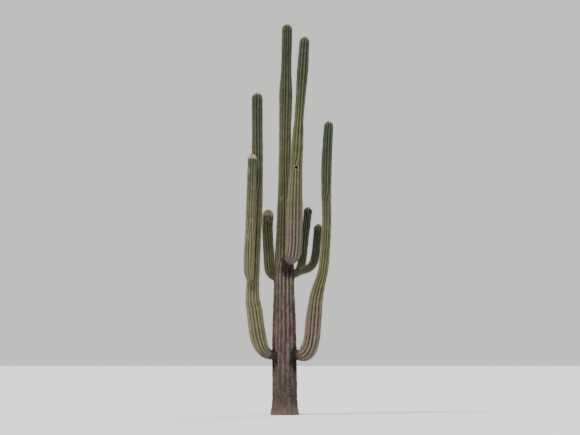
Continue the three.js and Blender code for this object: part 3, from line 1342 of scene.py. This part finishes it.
@dataclass(frozen=True)
class SkinFinish:
    """The plant's skin: waxy and green, with dust and painted shade in its grooves, brown and then corky
    where it is old.

    Each of the values whose name ends in share says how much of the second pattern there is where two
    are mixed.
    """

    SHADE = (0.4, 0.4, 0.34)  # a glaze over whatever lies low
    STRAW = (0.225, 0.195, 0.105)
    CRACK = (0.04, 0.025, 0.021)

    name: str
    areole_spacing: float
    specular: float = 0.35

    broad: Pattern = Pattern(1.1, 3.0)
    patches: Pattern = Pattern(4.6, 4.0, (1.0, 1.0, 0.6))
    mottle: Pattern = Pattern(14.0, 6.0, (1.0, 1.0, 0.5))
    grain: Pattern = Pattern(95.0, 4.0)
    wrinkles: Pattern = Pattern(24.0, 5.0, (0.55, 0.55, 2.4))
    cracks: Pattern = Pattern(7.0, 4.0, (1.0, 1.0, 0.28), 0.5)
    crack_width: float = 0.075
    bands_per_metre: float = 4.0

    # The green skin, from the ground colour to what lies on top
    green: Colour = (0.083, 0.1, 0.032)
    dusty: Stain = Stain((0.13, 0.133, 0.056), (0.36, 0.66))
    young_green: Colour = (0.021, 0.052, 0.022)
    weathered: Colour = (0.136, 0.089, 0.073)
    weathered_pale: Stain = Stain((0.178, 0.131, 0.107), (0.35, 0.7))
    weathered_patch: Patch = Patch(1.3, (0.0, 1.0), (0.0, 0.2))
    bleached: Colour = STRAW
    bleaching: Range = (0.2, 0.9)  # how much of it the mottle lets through
    band_shade: Stain = Stain(SHADE, (0.35, 0.7), 0.4, Mixing.GLAZE)
    # dust and painted shade in the grooves
    groove_dust_and_shade: Stain = Stain(SHADE, (0.6, 0.0), 1.0, Mixing.GLAZE)
    crest_straw: Stain = Stain(STRAW, (0.66, 1.0))
    crest_on_old: float = 0.6  # how worn the crests are on old skin
    crest_on_young: float = 0.18  # and on young
    scab: Stain = Stain((0.12, 0.072, 0.04), (0.6, 0.68), 0.65)
    scar: Stain = Stain((0.25, 0.205, 0.135), (0.62, 0.7), 0.6)
    scar_in: Range = (0.44, 0.52)  # where in the mottle there are scars
    pore_shade: Stain = Stain(SHADE, (0.45, 0.7), 0.3, Mixing.GLAZE)
    wrinkle_shade: Stain = Stain(SHADE, (0.5, 0.7), 0.3, Mixing.GLAZE)

    # The corky bark, and how ragged the edge between it and the green skin is
    bark: Colour = (0.116, 0.073, 0.064)
    bark_grey: Stain = Stain((0.188, 0.141, 0.126), (0.4, 0.62))
    grey_share: float = 0.5  # of the wrinkles in what greys it, beside the patches
    bark_speckle: Stain = Stain(CRACK, (0.42, 0.66), 0.45)
    bark_fold: Stain = Stain(CRACK, (0.48, 0.3), 0.5)
    crack_dark: float = 0.55
    foot_shade: Stain = Stain(SHADE, (2.6, 0.4), 0.8, Mixing.GLAZE)
    soil_dust: Stain = Stain((0.2, 0.145, 0.1), (0.25, -0.15), 0.4)
    soil_splash: float = 0.3  # how far up the patches carry it, in metres
    uneven_share: float = 0.4  # of the mottle beside the patches
    bark_raggedness: float = 2.2
    bark_between: Range = (0.3, 0.8)

    # The crease where one limb grows out of another: painted shade over the dark of its cork
    joint_painted_shade: Colour = (0.125, 0.1, 0.085)
    joint_between: Range = (0.2, 0.95)
    joint_bark: float = 0.8  # how corky the crease is
    joint_aging: Range = (0.3, 1.0)  # how strong it is on fresh and on weathered skin

    # The felt of the tip, and the callus and the painted shade of the hollow
    felt: Colour = (0.4, 0.34, 0.235)
    felt_shade: Stain = Stain((0.5, 0.48, 0.42), (0.3, 0.7), 1.0, Mixing.GLAZE)
    felt_patch: Patch = Patch(1.2, (0.3, 0.75), (0.0, 0.1))
    callus: Colour = (0.24, 0.18, 0.13)
    # painted shade inside the hollow
    dark: Colour = (0.012, 0.009, 0.007)

    # Roughness and bump
    wax_roughness: float = 0.46
    dusty_roughness: float = 0.66
    bark_roughness: float = 0.92
    pore_share: float = 0.35  # of the grain beside the mottle
    pore_depth: float = 0.3
    notch_between: Range = (0.45, 0.95)  # where on a crest the notches between its areoles are
    notch_depth: float = 0.1
    bark_share: float = 0.5  # of the finer patterns beside the wrinkles
    bark_grain_share: float = 0.4  # of the grain beside the mottle
    crack_depth: float = 0.5
    bump_strength: float = 0.95
    bump_depth: float = 0.014

    def material(self) -> Material:
        """Builds the finish."""
        return SkinPainter(self).material()


class SkinPainter:
    """Turns the values of a skin's finish into a material."""

    def __init__(self, finish: SkinFinish) -> None:
        """Starts the material with the marks and the patterns that it reads.

        Args:
            finish: The finish.
        """
        self.finish = finish
        self.bench = NodeBench(finish.name, finish.dusty_roughness, finish.specular)
        self.marks = {mark: self.bench.attribute(mark) for mark in Mark}
        self.broad = self.bench.noise(finish.broad)
        self.patches = self.bench.noise(finish.patches)
        self.mottle = self.bench.noise(finish.mottle)
        self.grain = self.bench.noise(finish.grain)
        self.wrinkles = self.bench.noise(finish.wrinkles)
        self.cracks = self.bench.lines(finish.cracks, finish.crack_width)

    def material(self) -> Material:
        """Lays the finish's colours over each other and gives it its roughness and bump.

        Returns:
            The material.
        """
        finish, bench = self.finish, self.bench
        mixed = bench.mix_numbers(finish.uneven_share, self.patches, self.mottle)
        uneven = bench.minus(mixed, bench.MIDDLE)
        crease = self.crease(uneven)
        barked = self.barked(uneven, crease)
        colour = bench.mix(barked, self.flesh(), self.corky())
        # painted shade in the crease round each arm's root, over the dark of its cork
        colour = bench.mix(crease, colour, finish.joint_painted_shade, Mixing.GLAZE)
        bench.feed(bench.shader.inputs["Base Color"], self.tip_and_hollow(colour))
        waxy = bench.mix_numbers(self.mottle, finish.wax_roughness, finish.dusty_roughness)
        roughness = bench.mix_numbers(barked, waxy, finish.bark_roughness)
        bench.feed(bench.shader.inputs["Roughness"], roughness)
        heights = bench.mix_numbers(barked, self.smooth_height(), self.corky_height())
        bench.bump(heights, finish.bump_strength, finish.bump_depth)
        return bench.material

    def crease(self, uneven: Socket) -> Socket:
        """Shapes the crease where one limb grows out of another: painted shade over the dark of its
        cork.

        Args:
            uneven: What makes its edge ragged.

        Returns:
            How much of the crease there is, from 0 to 1, more of it on weathered skin.
        """
        near = self.bench.plus(self.marks[Mark.JOINT], uneven)
        aged = self.bench.mix_numbers(self.marks[Mark.WEATHERED], *self.finish.joint_aging)
        return self.bench.times(self.bench.rise(near, self.finish.joint_between), aged)

    def barked(self, uneven: Socket, crease: Socket) -> Socket:
        """Shapes the edge between the green skin and the bark.

        Args:
            uneven: What makes it ragged.
            crease: How much of a crease there is, which is corky too.

        Returns:
            How much of the bark there is, from 0 to 1.
        """
        bench, finish = self.bench, self.finish
        corked = bench.plus(self.marks[Mark.BARK], bench.times(crease, finish.joint_bark))
        ragged = bench.plus(corked, bench.times(uneven, finish.bark_raggedness))
        return bench.rise(ragged, finish.bark_between)

    def flesh(self) -> Socket:
        """Colours the green skin, and the brown that it weathers to.

        Returns:
            The colour.
        """
        finish, bench, marks = self.finish, self.bench, self.marks
        green = bench.stain(finish.green, finish.dusty, self.broad)
        green = bench.mix(marks[Mark.YOUTH], green, finish.young_green)
        brown = bench.stain(finish.weathered, finish.weathered_pale, self.mottle)
        worn = bench.patch(marks[Mark.WEATHERED], self.patches, finish.weathered_patch)
        green = bench.mix(worn, green, brown)
        mottled = bench.mix_numbers(self.mottle, *finish.bleaching)
        green = bench.mix(bench.times(marks[Mark.BLEACHED], mottled), green, finish.bleached)
        bands = bench.bands(marks[Mark.ALONG], finish.bands_per_metre)
        green = bench.stain(green, finish.band_shade, bands)
        # dust and painted shade in the grooves
        green = bench.stain(green, finish.groove_dust_and_shade, marks[Mark.CREST])
        wear = bench.mix_numbers(marks[Mark.YOUTH], finish.crest_on_old, finish.crest_on_young)
        green = bench.stain(green, finish.crest_straw, marks[Mark.CREST], wear)
        green = bench.stain(green, finish.scab, self.mottle)
        green = bench.stain(green, finish.scar, self.patches, bench.rise(self.mottle, finish.scar_in))
        green = bench.stain(green, finish.pore_shade, self.grain)
        return bench.stain(green, finish.wrinkle_shade, self.wrinkles)

    def corky(self) -> Socket:
        """Colours the corky bark.

        Returns:
            The colour.
        """
        finish, bench, height = self.finish, self.bench, self.bench.height()
        greying = bench.mix_numbers(finish.grey_share, self.patches, self.wrinkles)
        bark = bench.stain(finish.bark, finish.bark_grey, greying)
        bark = bench.stain(bark, finish.bark_speckle, self.grain)
        bark = bench.stain(bark, finish.bark_fold, self.wrinkles)
        bark = bench.mix(bench.times(self.cracks, finish.crack_dark), bark, finish.CRACK)
        bark = bench.stain(bark, finish.foot_shade, height)
        splashed = bench.minus(height, bench.times(self.patches, finish.soil_splash))
        return bench.stain(bark, finish.soil_dust, splashed)

    def tip_and_hollow(self, colour: Socket) -> Socket:
        """Lays the felt of the tip, and the callus and the painted shade inside the hollow, over the
        skin.

        Args:
            colour: The skin's colour.

        Returns:
            The colour.
        """
        finish, bench, marks = self.finish, self.bench, self.marks
        felted = bench.patch(marks[Mark.FELTED], self.mottle, finish.felt_patch)
        felt = bench.stain(finish.felt, finish.felt_shade, self.grain)
        colour = bench.mix(felted, colour, felt)
        colour = bench.mix(marks[Mark.RIM], colour, finish.callus)
        # painted shade inside the hollow
        return bench.mix(marks[Mark.HOLLOW], colour, finish.dark)

    def smooth_height(self) -> Socket:
        """Shapes the green skin: fine pores, and a notch in the crest between its areoles.

        Returns:
            The heights.
        """
        finish, bench = self.finish, self.bench
        turn = bench.times(self.marks[Mark.ALONG], FULL_TURN / finish.areole_spacing)
        on_crest = bench.rise(self.marks[Mark.CREST], finish.notch_between)
        notch = bench.times(bench.reckon(Operation.COSINE, turn), on_crest)
        pores = bench.mix_numbers(finish.pore_share, self.mottle, self.grain)
        return bench.plus(bench.times(pores, finish.pore_depth), bench.times(notch, finish.notch_depth))

    def corky_height(self) -> Socket:
        """Shapes the bark: wrinkles and grain, with cracks cut into them.

        Returns:
            The heights.
        """
        finish, bench = self.finish, self.bench
        fine = bench.mix_numbers(finish.bark_grain_share, self.mottle, self.grain)
        rough = bench.mix_numbers(finish.bark_share, self.wrinkles, fine)
        return bench.minus(rough, bench.times(self.cracks, finish.crack_depth))


@dataclass(frozen=True)
class PlainFinish:
    """A finish with one base colour, for things too small to carry a pattern."""

    name: str
    colour: Colour
    roughness: float
    specular: float = 0.3

    def material(self) -> Material:
        """Builds the finish.

        Returns:
            The material.
        """
        bench = NodeBench(self.name, self.roughness, self.specular)
        bench.feed(bench.shader.inputs["Base Color"], self.colour)
        return bench.material


@dataclass(frozen=True)
class Tone:
    """A plain finish, and the share of the areoles that have it on old and on young skin."""

    finish: PlainFinish
    on_old: float
    on_young: float


class SpineTone(Enum):
    """The colours of spine clusters, from weathered to young."""

    ASH = Tone(PlainFinish("ash_spines", (0.33, 0.29, 0.22), 0.6), on_old=0.5, on_young=0.08)
    BONE = Tone(PlainFinish("bone_spines", (0.49, 0.42, 0.29), 0.55), on_old=0.34, on_young=0.1)
    STRAW = Tone(PlainFinish("straw_spines", (0.5, 0.38, 0.18), 0.5), on_old=0.06, on_young=0.2)
    RUSSET = Tone(PlainFinish("russet_spines", (0.17, 0.105, 0.06), 0.5), on_old=0.1, on_young=0.62)


class FeltTone(Enum):
    """The colours of areole pads, from weathered to young."""

    CHARCOAL = Tone(PlainFinish("charcoal_felt", (0.09, 0.08, 0.07), 0.95), on_old=0.3, on_young=0.3)
    GREY = Tone(PlainFinish("grey_felt", (0.27, 0.25, 0.21), 0.95), on_old=0.6, on_young=0.5)
    TAN = Tone(PlainFinish("tan_felt", (0.42, 0.36, 0.26), 0.95), on_old=0.1, on_young=0.2)


@dataclass
class Areoles:
    """Where a limb's areoles are: a place, the way out of the skin, and the way up along the rib."""

    points: np.ndarray
    normals: np.ndarray
    ups: np.ndarray
    youth: np.ndarray
    capped: np.ndarray  # how far each is in the felt of the tip

    @property
    def sides(self) -> np.ndarray:
        """The way across the rib."""
        return np.cross(self.ups, self.normals)

    def kept(self, keep: np.ndarray) -> "Areoles":
        """Only those areoles that are to be kept."""
        columns = (self.points, self.normals, self.ups, self.youth, self.capped)
        return Areoles(*(column[keep] for column in columns))


@dataclass(kw_only=True)
class Coat:
    """The areoles along a limb's ribs, with a felt pad and a cluster of spines on each."""

    PAD_CORNERS = ((0, 3, 4), (3, 2, 4), (2, 1, 4), (1, 0, 4), (0, 1, 2), (0, 2, 3))
    SPINE_CORNERS = ((0, 1, 3), (1, 2, 3), (2, 0, 3), (0, 2, 1))

    limb: Limb
    spacing: float = 0.033
    jitter: float = 0.14  # in spacings
    cap_spacing: float = 0.014  # on the domed tip
    cap_stretch: float = 1.2  # the close areoles of the tip start so many dome lengths under its top
    cap_turn: float = 0.97  # and end at this share of a quarter turn up the dome
    cap_edge: Range = (0.75, 1.0)  # the same as felt_edge, for how far they lie in the felt
    bark_survival: float = 0.12  # the share of the areoles that is left on corky bark
    bark_thinning: Range = (0.2, 0.7)  # how corky the skin is where they thin out
    crease_survival: float = 0.15  # and the same in the crease round an arm's root
    crease_thinning: Range = (0.4, 0.9)
    clearance: float = 0.012  # they are left out inside other limbs and this near to them
    above_ground: float = 0.07  # height of the lowest areoles
    probe: float = 0.004  # how far along the rib the way up is read

    pad_length: float = 0.018
    pad_width: float = 0.013
    pad_height: float = 0.006
    pad_sizes: Range = (0.75, 1.2)
    pad_cap_growth: float = 0.35  # how much larger the pads in the felt of the tip are
    pad_capped: float = 0.4  # pads this far in it have its colour
    sink: float = 0.002  # how deep pads and spines are rooted

    radials: int = 7
    centrals: int = 3
    radial_length: Range = (0.017, 0.031)
    central_length: Range = (0.03, 0.047)
    radial_lean: Range = (0.95, 1.35)  # radians from straight out
    central_lean: Range = (0.15, 0.6)
    radial_jitter: float = 0.35  # in gaps between two radial spines
    spine_radius: float = 0.0015
    shorter_young: float = 0.2  # how much shorter spines are on young skin
    shorter_capped: float = 0.15  # and in the felt of the tip
    steeper_capped: float = 0.45  # where they also lean this much less
    askew: tuple[float, float] = (0.37, 0.21)  # a way no spine grows: sideways and out, with 1 up

    def __post_init__(self) -> None:
        """Seeds the coat's own choices."""
        self.rng = np.random.default_rng(self.limb.seed + 2)

    def places_along(self) -> np.ndarray:
        """Spaces out one rib's areoles.

        Returns:
            Their distances along the limb, closer together on its domed tip.
        """
        limb = self.limb
        reach = self.cap_stretch * limb.dome
        cap = limb.line.length - reach
        body = np.arange(math.ceil(limb.start() / self.spacing), int(cap / self.spacing)) * self.spacing
        body = body + self.rng.uniform(-self.jitter, self.jitter, len(body)) * self.spacing
        turns = np.arange(0.0, self.cap_turn * QUARTER_TURN, self.cap_spacing / limb.dome)
        return np.concatenate([body, cap + reach * np.sin(turns)])

    def on_crests(self) -> tuple[np.ndarray, np.ndarray]:
        """Spaces out the areoles of all ribs.

        Returns:
            The distance along the limb and the angle round it of each areole.
        """
        found = []
        for rib in range(self.limb.ribs):
            distance = self.places_along()
            angles, apart = self.limb.rows.crests(distance)
            found.append((distance[apart[:, rib]], angles[apart[:, rib], rib]))
        distance, angle = (np.concatenate(column) for column in zip(*found))
        return distance, angle

    def areoles(self, others: list[Limb]) -> Areoles:
        """Finds the areoles that show.

        Args:
            others: The limbs that may hide some.

        Returns:
            The areoles.
        """
        limb = self.limb
        distance, angle = self.on_crests()
        crest = 0.0 * angle
        points, outward, _ = limb.surface(angle, crest, distance)
        low = limb.surface(angle, crest, distance - self.probe)[0]
        high = limb.surface(angle, crest, np.minimum(distance + self.probe, limb.line.length))[0]
        ups = unit(high - low)
        capped = smoothstep(limb.into_dome(distance), *(edge - limb.felt for edge in self.cap_edge))
        barked = smoothstep(limb.bark_at(angle, distance), *self.bark_thinning)
        creased = smoothstep(limb.painted_crease_shade_at(points, distance), *self.crease_thinning)
        chance = blend(1.0, self.bark_survival, barked) * blend(1.0, self.crease_survival, creased)
        keep = (self.rng.random(len(distance)) < chance) & (points[:, 2] > self.above_ground)
        for other in others:
            keep &= other.depth_of(points) < -self.clearance
        if limb.hollow is not None:
            keep &= ~((limb.hollow_share(points) < limb.hollow.clear) & (outward[:, 1] < 0.0))
        return Areoles(points, square_to(outward, ups), ups, limb.youth_at(distance), capped).kept(keep)

    def pads(self, at: Areoles) -> MeshParts:
        """Builds the felt pads as low pyramids.

        Args:
            at: Where the areoles are.

        Returns:
            The pads.
        """
        grown = 1.0 + self.pad_cap_growth * at.capped[:, None]
        size = self.rng.uniform(*self.pad_sizes, (len(at.points), 1)) * grown
        up, side = at.ups * size * self.pad_length / 2, at.sides * size * self.pad_width / 2
        base = at.points - at.normals * self.sink
        top = at.points + at.normals * size * self.pad_height
        vertices = np.stack([base + up, base + side, base - up, base - side, top], axis=1)
        tones = self.deal(at.youth, FeltTone)
        tones = np.where(at.capped > self.pad_capped, list(FeltTone).index(FeltTone.TAN), tones)
        return self.joined(vertices, self.PAD_CORNERS, tones)

    def directions(self, at: Areoles) -> tuple[np.ndarray, np.ndarray]:
        """Chooses how the spines point: the radial ones all round, the central ones outwards.

        Args:
            at: Where the areoles are.

        Returns:
            The direction and the length of each spine of each cluster.
        """
        shape = (len(at.points), self.radials)
        strays = self.rng.uniform(-self.radial_jitter, self.radial_jitter, shape)
        turn = (np.arange(self.radials) + strays) * FULL_TURN / self.radials
        lean = self.rng.uniform(*self.radial_lean, shape)
        length = self.rng.uniform(*self.radial_length, shape)
        shape = (len(at.points), self.centrals)
        turn = np.hstack([turn, self.rng.uniform(0.0, FULL_TURN, shape)])
        lean = np.hstack([lean, self.rng.uniform(*self.central_lean, shape)])
        length = np.hstack([length, self.rng.uniform(*self.central_length, shape)])
        share = 1.0 - self.shorter_young * at.youth - self.shorter_capped * at.capped
        length = length * share[:, None]
        lean = lean * (1.0 - self.steeper_capped * at.capped)[:, None]
        flat = at.ups[:, None] * np.cos(turn)[..., None] + at.sides[:, None] * np.sin(turn)[..., None]
        way = at.normals[:, None] * np.cos(lean)[..., None] + flat * np.sin(lean)[..., None]
        return way, length

    def spines(self, at: Areoles) -> MeshParts:
        """Builds the spines, each a slim closed spike.

        Args:
            at: Where the areoles are.

        Returns:
            The spines.
        """
        way, length = self.directions(at)
        sideways, outwards = self.askew
        askew = at.ups[:, None] + sideways * at.sides[:, None] + outwards * at.normals[:, None]
        broad = unit(np.cross(way, askew))
        narrow = np.cross(way, broad)
        root = at.points[:, None] - way * self.sink
        thirds = [(math.cos(a), math.sin(a)) for a in np.arange(3) * FULL_TURN / 3]
        foot = [root + self.spine_radius * (broad * x + narrow * y) for x, y in thirds]
        vertices = np.stack([*foot, root + way * length[..., None]], axis=2).reshape(-1, 4, 3)
        tones = np.repeat(self.deal(at.youth, SpineTone), self.radials + self.centrals)
        return self.joined(vertices, self.SPINE_CORNERS, tones)

    def deal(self, youth: np.ndarray, tones: type[Enum]) -> np.ndarray:
        """Deals out tones, one to each areole.

        Args:
            youth: How young each areole is.
            tones: The tones.

        Returns:
            The number of each areole's tone.
        """
        old = np.array([tone.value.on_old for tone in tones])
        young = np.array([tone.value.on_young for tone in tones])
        marks = np.cumsum(blend(old, young, youth[:, None]), axis=1)[:, :-1]
        return np.sum(self.rng.random((len(youth), 1)) > marks, axis=1)

    @staticmethod
    def joined(vertices: np.ndarray, corners: Corners, tones: np.ndarray) -> MeshParts:
        """Joins many small closed shapes of one kind.

        Args:
            vertices: The vertices of each shape.
            corners: The triangles of one shape.
            tones: The tone of each shape.

        Returns:
            One mesh that holds them all.
        """
        count, size = vertices.shape[:2]
        faces = np.array(corners)[None] + (np.arange(count) * size)[:, None, None]
        tone_of_face = np.repeat(tones, len(corners))
        return MeshParts(vertices.reshape(-1, 3), faces.reshape(-1, 3), tone_of_face=tone_of_face)

    def dress(
        self, others: list[Limb], felts: list[Material], tones: list[Material]
    ) -> tuple[Piece, Piece]:
        """Makes the limb's pads and spines as two pieces.

        Args:
            others: The limbs that may hide some of them.
            felts: The materials of the pads.
            tones: The materials of the spines.

        Returns:
            The pads and the spines.
        """
        at = self.areoles(others)
        pads = self.pads(at).piece(f"{self.limb.name}_areoles", Slot.FELT, felts)
        spines = self.spines(at).piece(f"{self.limb.name}_spines", Slot.SPINES, tones)
        return pads, spines


@dataclass(frozen=True)
class Sun:
    """A broad far light."""

    name: str
    way: Triple  # the direction that it comes from
    strength: float
    spread: float  # how many degrees of the sky it fills

    def build(self) -> None:
        """Adds the light to the scene."""
        light = bpy.data.lights.new(self.name, "SUN")
        light.energy = self.strength
        light.angle = math.radians(self.spread)
        add_object(self.name, light).rotation_euler = Vector(self.way).to_track_quat("Z", "Y").to_euler()


@dataclass(kw_only=True)
class Studio:
    """A pale floor, soft light from all sides, and the camera."""

    floor_radius: float = 260.0
    floor_sides: int = 96
    floor_finish: PlainFinish = PlainFinish("pale_floor", (0.78, 0.78, 0.77), 0.9)
    sky_colour: Colour = (1.0, 0.985, 0.965)
    sky_strength: float = 0.85
    suns: tuple[Sun, ...] = (
        Sun("key", (-0.62, -0.55, 1.1), 3.4, 11.0),
        Sun("fill", (0.95, -0.35, 0.5), 0.3, 80.0),
        Sun("rim", (0.6, 0.75, 0.7), 1.6, 40.0),
    )
    lens: float = 139.0  # in millimetres
    sees_to: float = 1000.0
    eye: Triple = (0.137, -60.0, 1.6)
    aim: Triple = (0.137, 0.0, 5.28)

    def floor(self) -> None:
        """Builds the floor as a wide disc."""
        turns = np.arange(self.floor_sides) * FULL_TURN / self.floor_sides
        rim = [(self.floor_radius * math.cos(a), self.floor_radius * math.sin(a), 0.0) for a in turns]
        mesh = bpy.data.meshes.new("floor")
        mesh.from_pydata(rim, [], [list(range(self.floor_sides))])
        mesh.materials.append(self.floor_finish.material())
        add_object("floor", mesh)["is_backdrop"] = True

    def lights(self) -> None:
        """Sets the sky and the broad lights."""
        world = bpy.data.worlds.new("sky")
        world.use_nodes = True
        background = world.node_tree.nodes["Background"]
        background.inputs["Color"].default_value = (*self.sky_colour, 1.0)
        background.inputs["Strength"].default_value = self.sky_strength
        bpy.context.scene.world = world
        for sun in self.suns:
            sun.build()

    def camera(self) -> None:
        """Sets the camera, far off and near the ground, as the photograph was taken."""
        data = bpy.data.cameras.new("camera")
        data.lens = self.lens
        data.clip_end = self.sees_to
        made = add_object("camera", data)
        made.location = self.eye
        look = Vector(self.aim) - Vector(self.eye)
        made.rotation_euler = look.to_track_quat("-Z", "Y").to_euler()
        bpy.context.scene.camera = made


def plant() -> list[Limb]:
    """Sets out the plant's limbs.

    Returns:
        The trunk and then each arm, after the limb that carries it.
    """
    trunk = Trunk(
        name="trunk",
        height=10.5,
        lean=0.06,
        bow=0.03,
        ribs=16,
        groove=0.22,
        merges=2,
        felt=0.14,
        youth_from=4.0,
        weathering=((0.0, 1.0), (3.8, 0.9), (5.2, 0.35), (6.4, 0.0)),
        seed=11,
        girth=(
            (0.0, 0.392),
            (0.26, 0.352),
            (0.9, 0.334),
            (2.1, 0.322),
            (3.2, 0.284),
            (4.4, 0.24),
            (5.7, 0.182),
            (7.7, 0.16),
            (8.65, 0.176),
            (9.25, 0.138),
            (10.5, 0.136),
        ),
    )
    left_low = Arm(
        name="left_low_arm",
        carrier=trunk,
        ribs=13,
        joint=1.578,
        launch=-1,
        elbow_out=0.73,
        elbow_up=0.95,
        swell_between=(0.15, 0.62),
        climb=((-0.805, -0.32, 2.75), (-0.86, -0.35, 3.35), (-0.745, -0.32, 5.7), (-0.742, -0.31, 8.6)),
        neck=0.118,
        girth=((2.75, 0.215), (3.3, 0.178), (4.5, 0.155), (6.5, 0.148), (8.6, 0.146)),
        weathering=((1.5, 0.7), (2.3, 0.3), (3.2, 0.0)),
        bleaching=((1.5, 0.5), (2.1, 0.9), (3.5, 0.9), (4.5, 0.0)),
        merges=2,
        felt=0.16,
        youth_from=3.8,
        seed=21,
    )
    branch = Arm(
        name="left_low_branch",
        carrier=left_low,
        ribs=12,
        joint=3.56,
        launch=-2,
        climb=((-0.955, -0.705, 4.23), (-0.915, -0.7, 5.3), (-0.862, -0.69, 6.92)),
        neck=0.092,
        girth=((4.23, 0.13), (4.9, 0.12), (6.0, 0.116), (6.92, 0.122)),
        neck_bark=0.2,
        weathering=((3.5, 0.1), (4.2, 0.0)),
        bleaching=((3.5, 0.8), (5.2, 0.5), (6.3, 0.0)),
        felt=0.8,
        youth=0.6,
        youth_from=1.9,
        seed=31,
    )
    right_low = Arm(
        name="right_low_arm",
        carrier=trunk,
        ribs=13,
        joint=1.738,
        launch=-28,
        elbow_out=1.0,
        elbow_up=0.65,
        swell_between=(0.24, 0.42),
        climb=(
            (0.77, -0.38, 2.56),
            (0.85, -0.4, 3.2),
            (1.025, -0.44, 3.9),
            (1.11, -0.47, 5.0),
            (1.105, -0.48, 6.5),
            (1.175, -0.49, 7.82),
        ),
        neck=0.134,
        girth=(
            (2.56, 0.213),
            (3.15, 0.178),
            (3.9, 0.134),
            (5.0, 0.12),
            (6.6, 0.14),
            (7.4, 0.132),
            (7.82, 0.122),
        ),
        weathering=((1.4, 1.0), (2.6, 0.85), (3.5, 0.3), (4.6, 0.0)),
        merges=2,
        felt=0.2,
        youth_from=4.4,
        seed=41,
    )
    front_high = Arm(
        name="front_high_arm",
        carrier=trunk,
        ribs=13,
        joint=4.11,
        launch=-3,
        climb=((0.252, -0.54, 4.74), (0.282, -0.57, 5.9), (0.345, -0.58, 7.35), (0.535, -0.56, 10.08)),
        neck=0.14,
        girth=(
            (4.74, 0.208),
            (5.7, 0.202),
            (6.3, 0.172),
            (7.2, 0.156),
            (7.9, 0.122),
            (8.7, 0.14),
            (9.3, 0.15),
            (10.08, 0.128),
        ),
        weathering=((4.1, 0.9), (5.4, 0.65), (6.8, 0.0)),
        merges=2,
        felt=0.16,
        youth_from=3.6,
        seed=51,
        hollow=Hollow(height=6.57),
    )
    left_high = Arm(
        name="left_high_arm",
        carrier=trunk,
        ribs=12,
        joint=3.69,
        launch=-8,
        climb=((-0.425, 0.06, 4.18), (-0.468, 0.07, 5.0), (-0.445, 0.07, 5.48)),
        neck=0.104,
        girth=((4.18, 0.146), (4.8, 0.142), (5.48, 0.16)),
        neck_bark=0.3,
        weathering=((3.7, 0.15), (4.3, 0.0)),
        felt=0.8,
        youth=0.45,
        youth_from=1.5,
        seed=61,
    )
    right_high = Arm(
        name="right_high_arm",
        carrier=trunk,
        ribs=12,
        joint=3.72,
        launch=14,
        climb=((0.838, -0.06, 4.45), (0.9, -0.06, 5.09)),
        neck=0.084,
        girth=((4.45, 0.112), (5.09, 0.108)),
        neck_bark=0.4,
        weathering=((3.7, 0.2), (4.2, 0.0)),
        felt=0.35,
        youth_from=2.2,
        seed=71,
    )
    back_high = Arm(
        name="back_high_arm",
        carrier=trunk,
        ribs=12,
        joint=3.7,
        launch=4,
        climb=((0.52, 0.69, 4.6), (0.635, 0.74, 5.6)),
        neck=0.086,
        girth=((4.6, 0.114), (5.6, 0.114)),
        neck_bark=0.4,
        weathering=((3.7, 0.2), (4.4, 0.0)),
        felt=0.35,
        youth_from=2.6,
        seed=81,
    )
    return [trunk, left_low, branch, right_low, front_high, left_high, right_high, back_high]


def write_sizes() -> None:
    """Logs the box of the solids and the box of the finished plant."""
    boxes = {"cad": CAD_BOX, "visual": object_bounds()}
    rows = {name: [[float(x) for x in corner] for corner in box] for name, box in boxes.items()}
    LOG.info("boxes: %s", rows)


def main() -> None:
    """Builds the studio and the plant, limb by limb, and reports each piece."""
    logging.basicConfig(level=logging.INFO, format="%(name)s: %(message)s")
    studio = Studio()
    studio.floor()
    studio.lights()
    studio.camera()
    skin = SkinFinish("saguaro_skin", Coat.spacing).material()
    felts = [tone.value.finish.material() for tone in FeltTone]
    tones = [tone.value.finish.material() for tone in SpineTone]
    limbs = plant()
    for limb in limbs:
        others = [other for other in limbs if other is not limb]
        for piece in (limb.dress(skin), *Coat(limb=limb).dress(others, felts, tones)):
            LOG.info("%s: %d triangles", piece.name, len(piece.data.polygons))
    write_sizes()


if __name__ == "__main__":
    main()
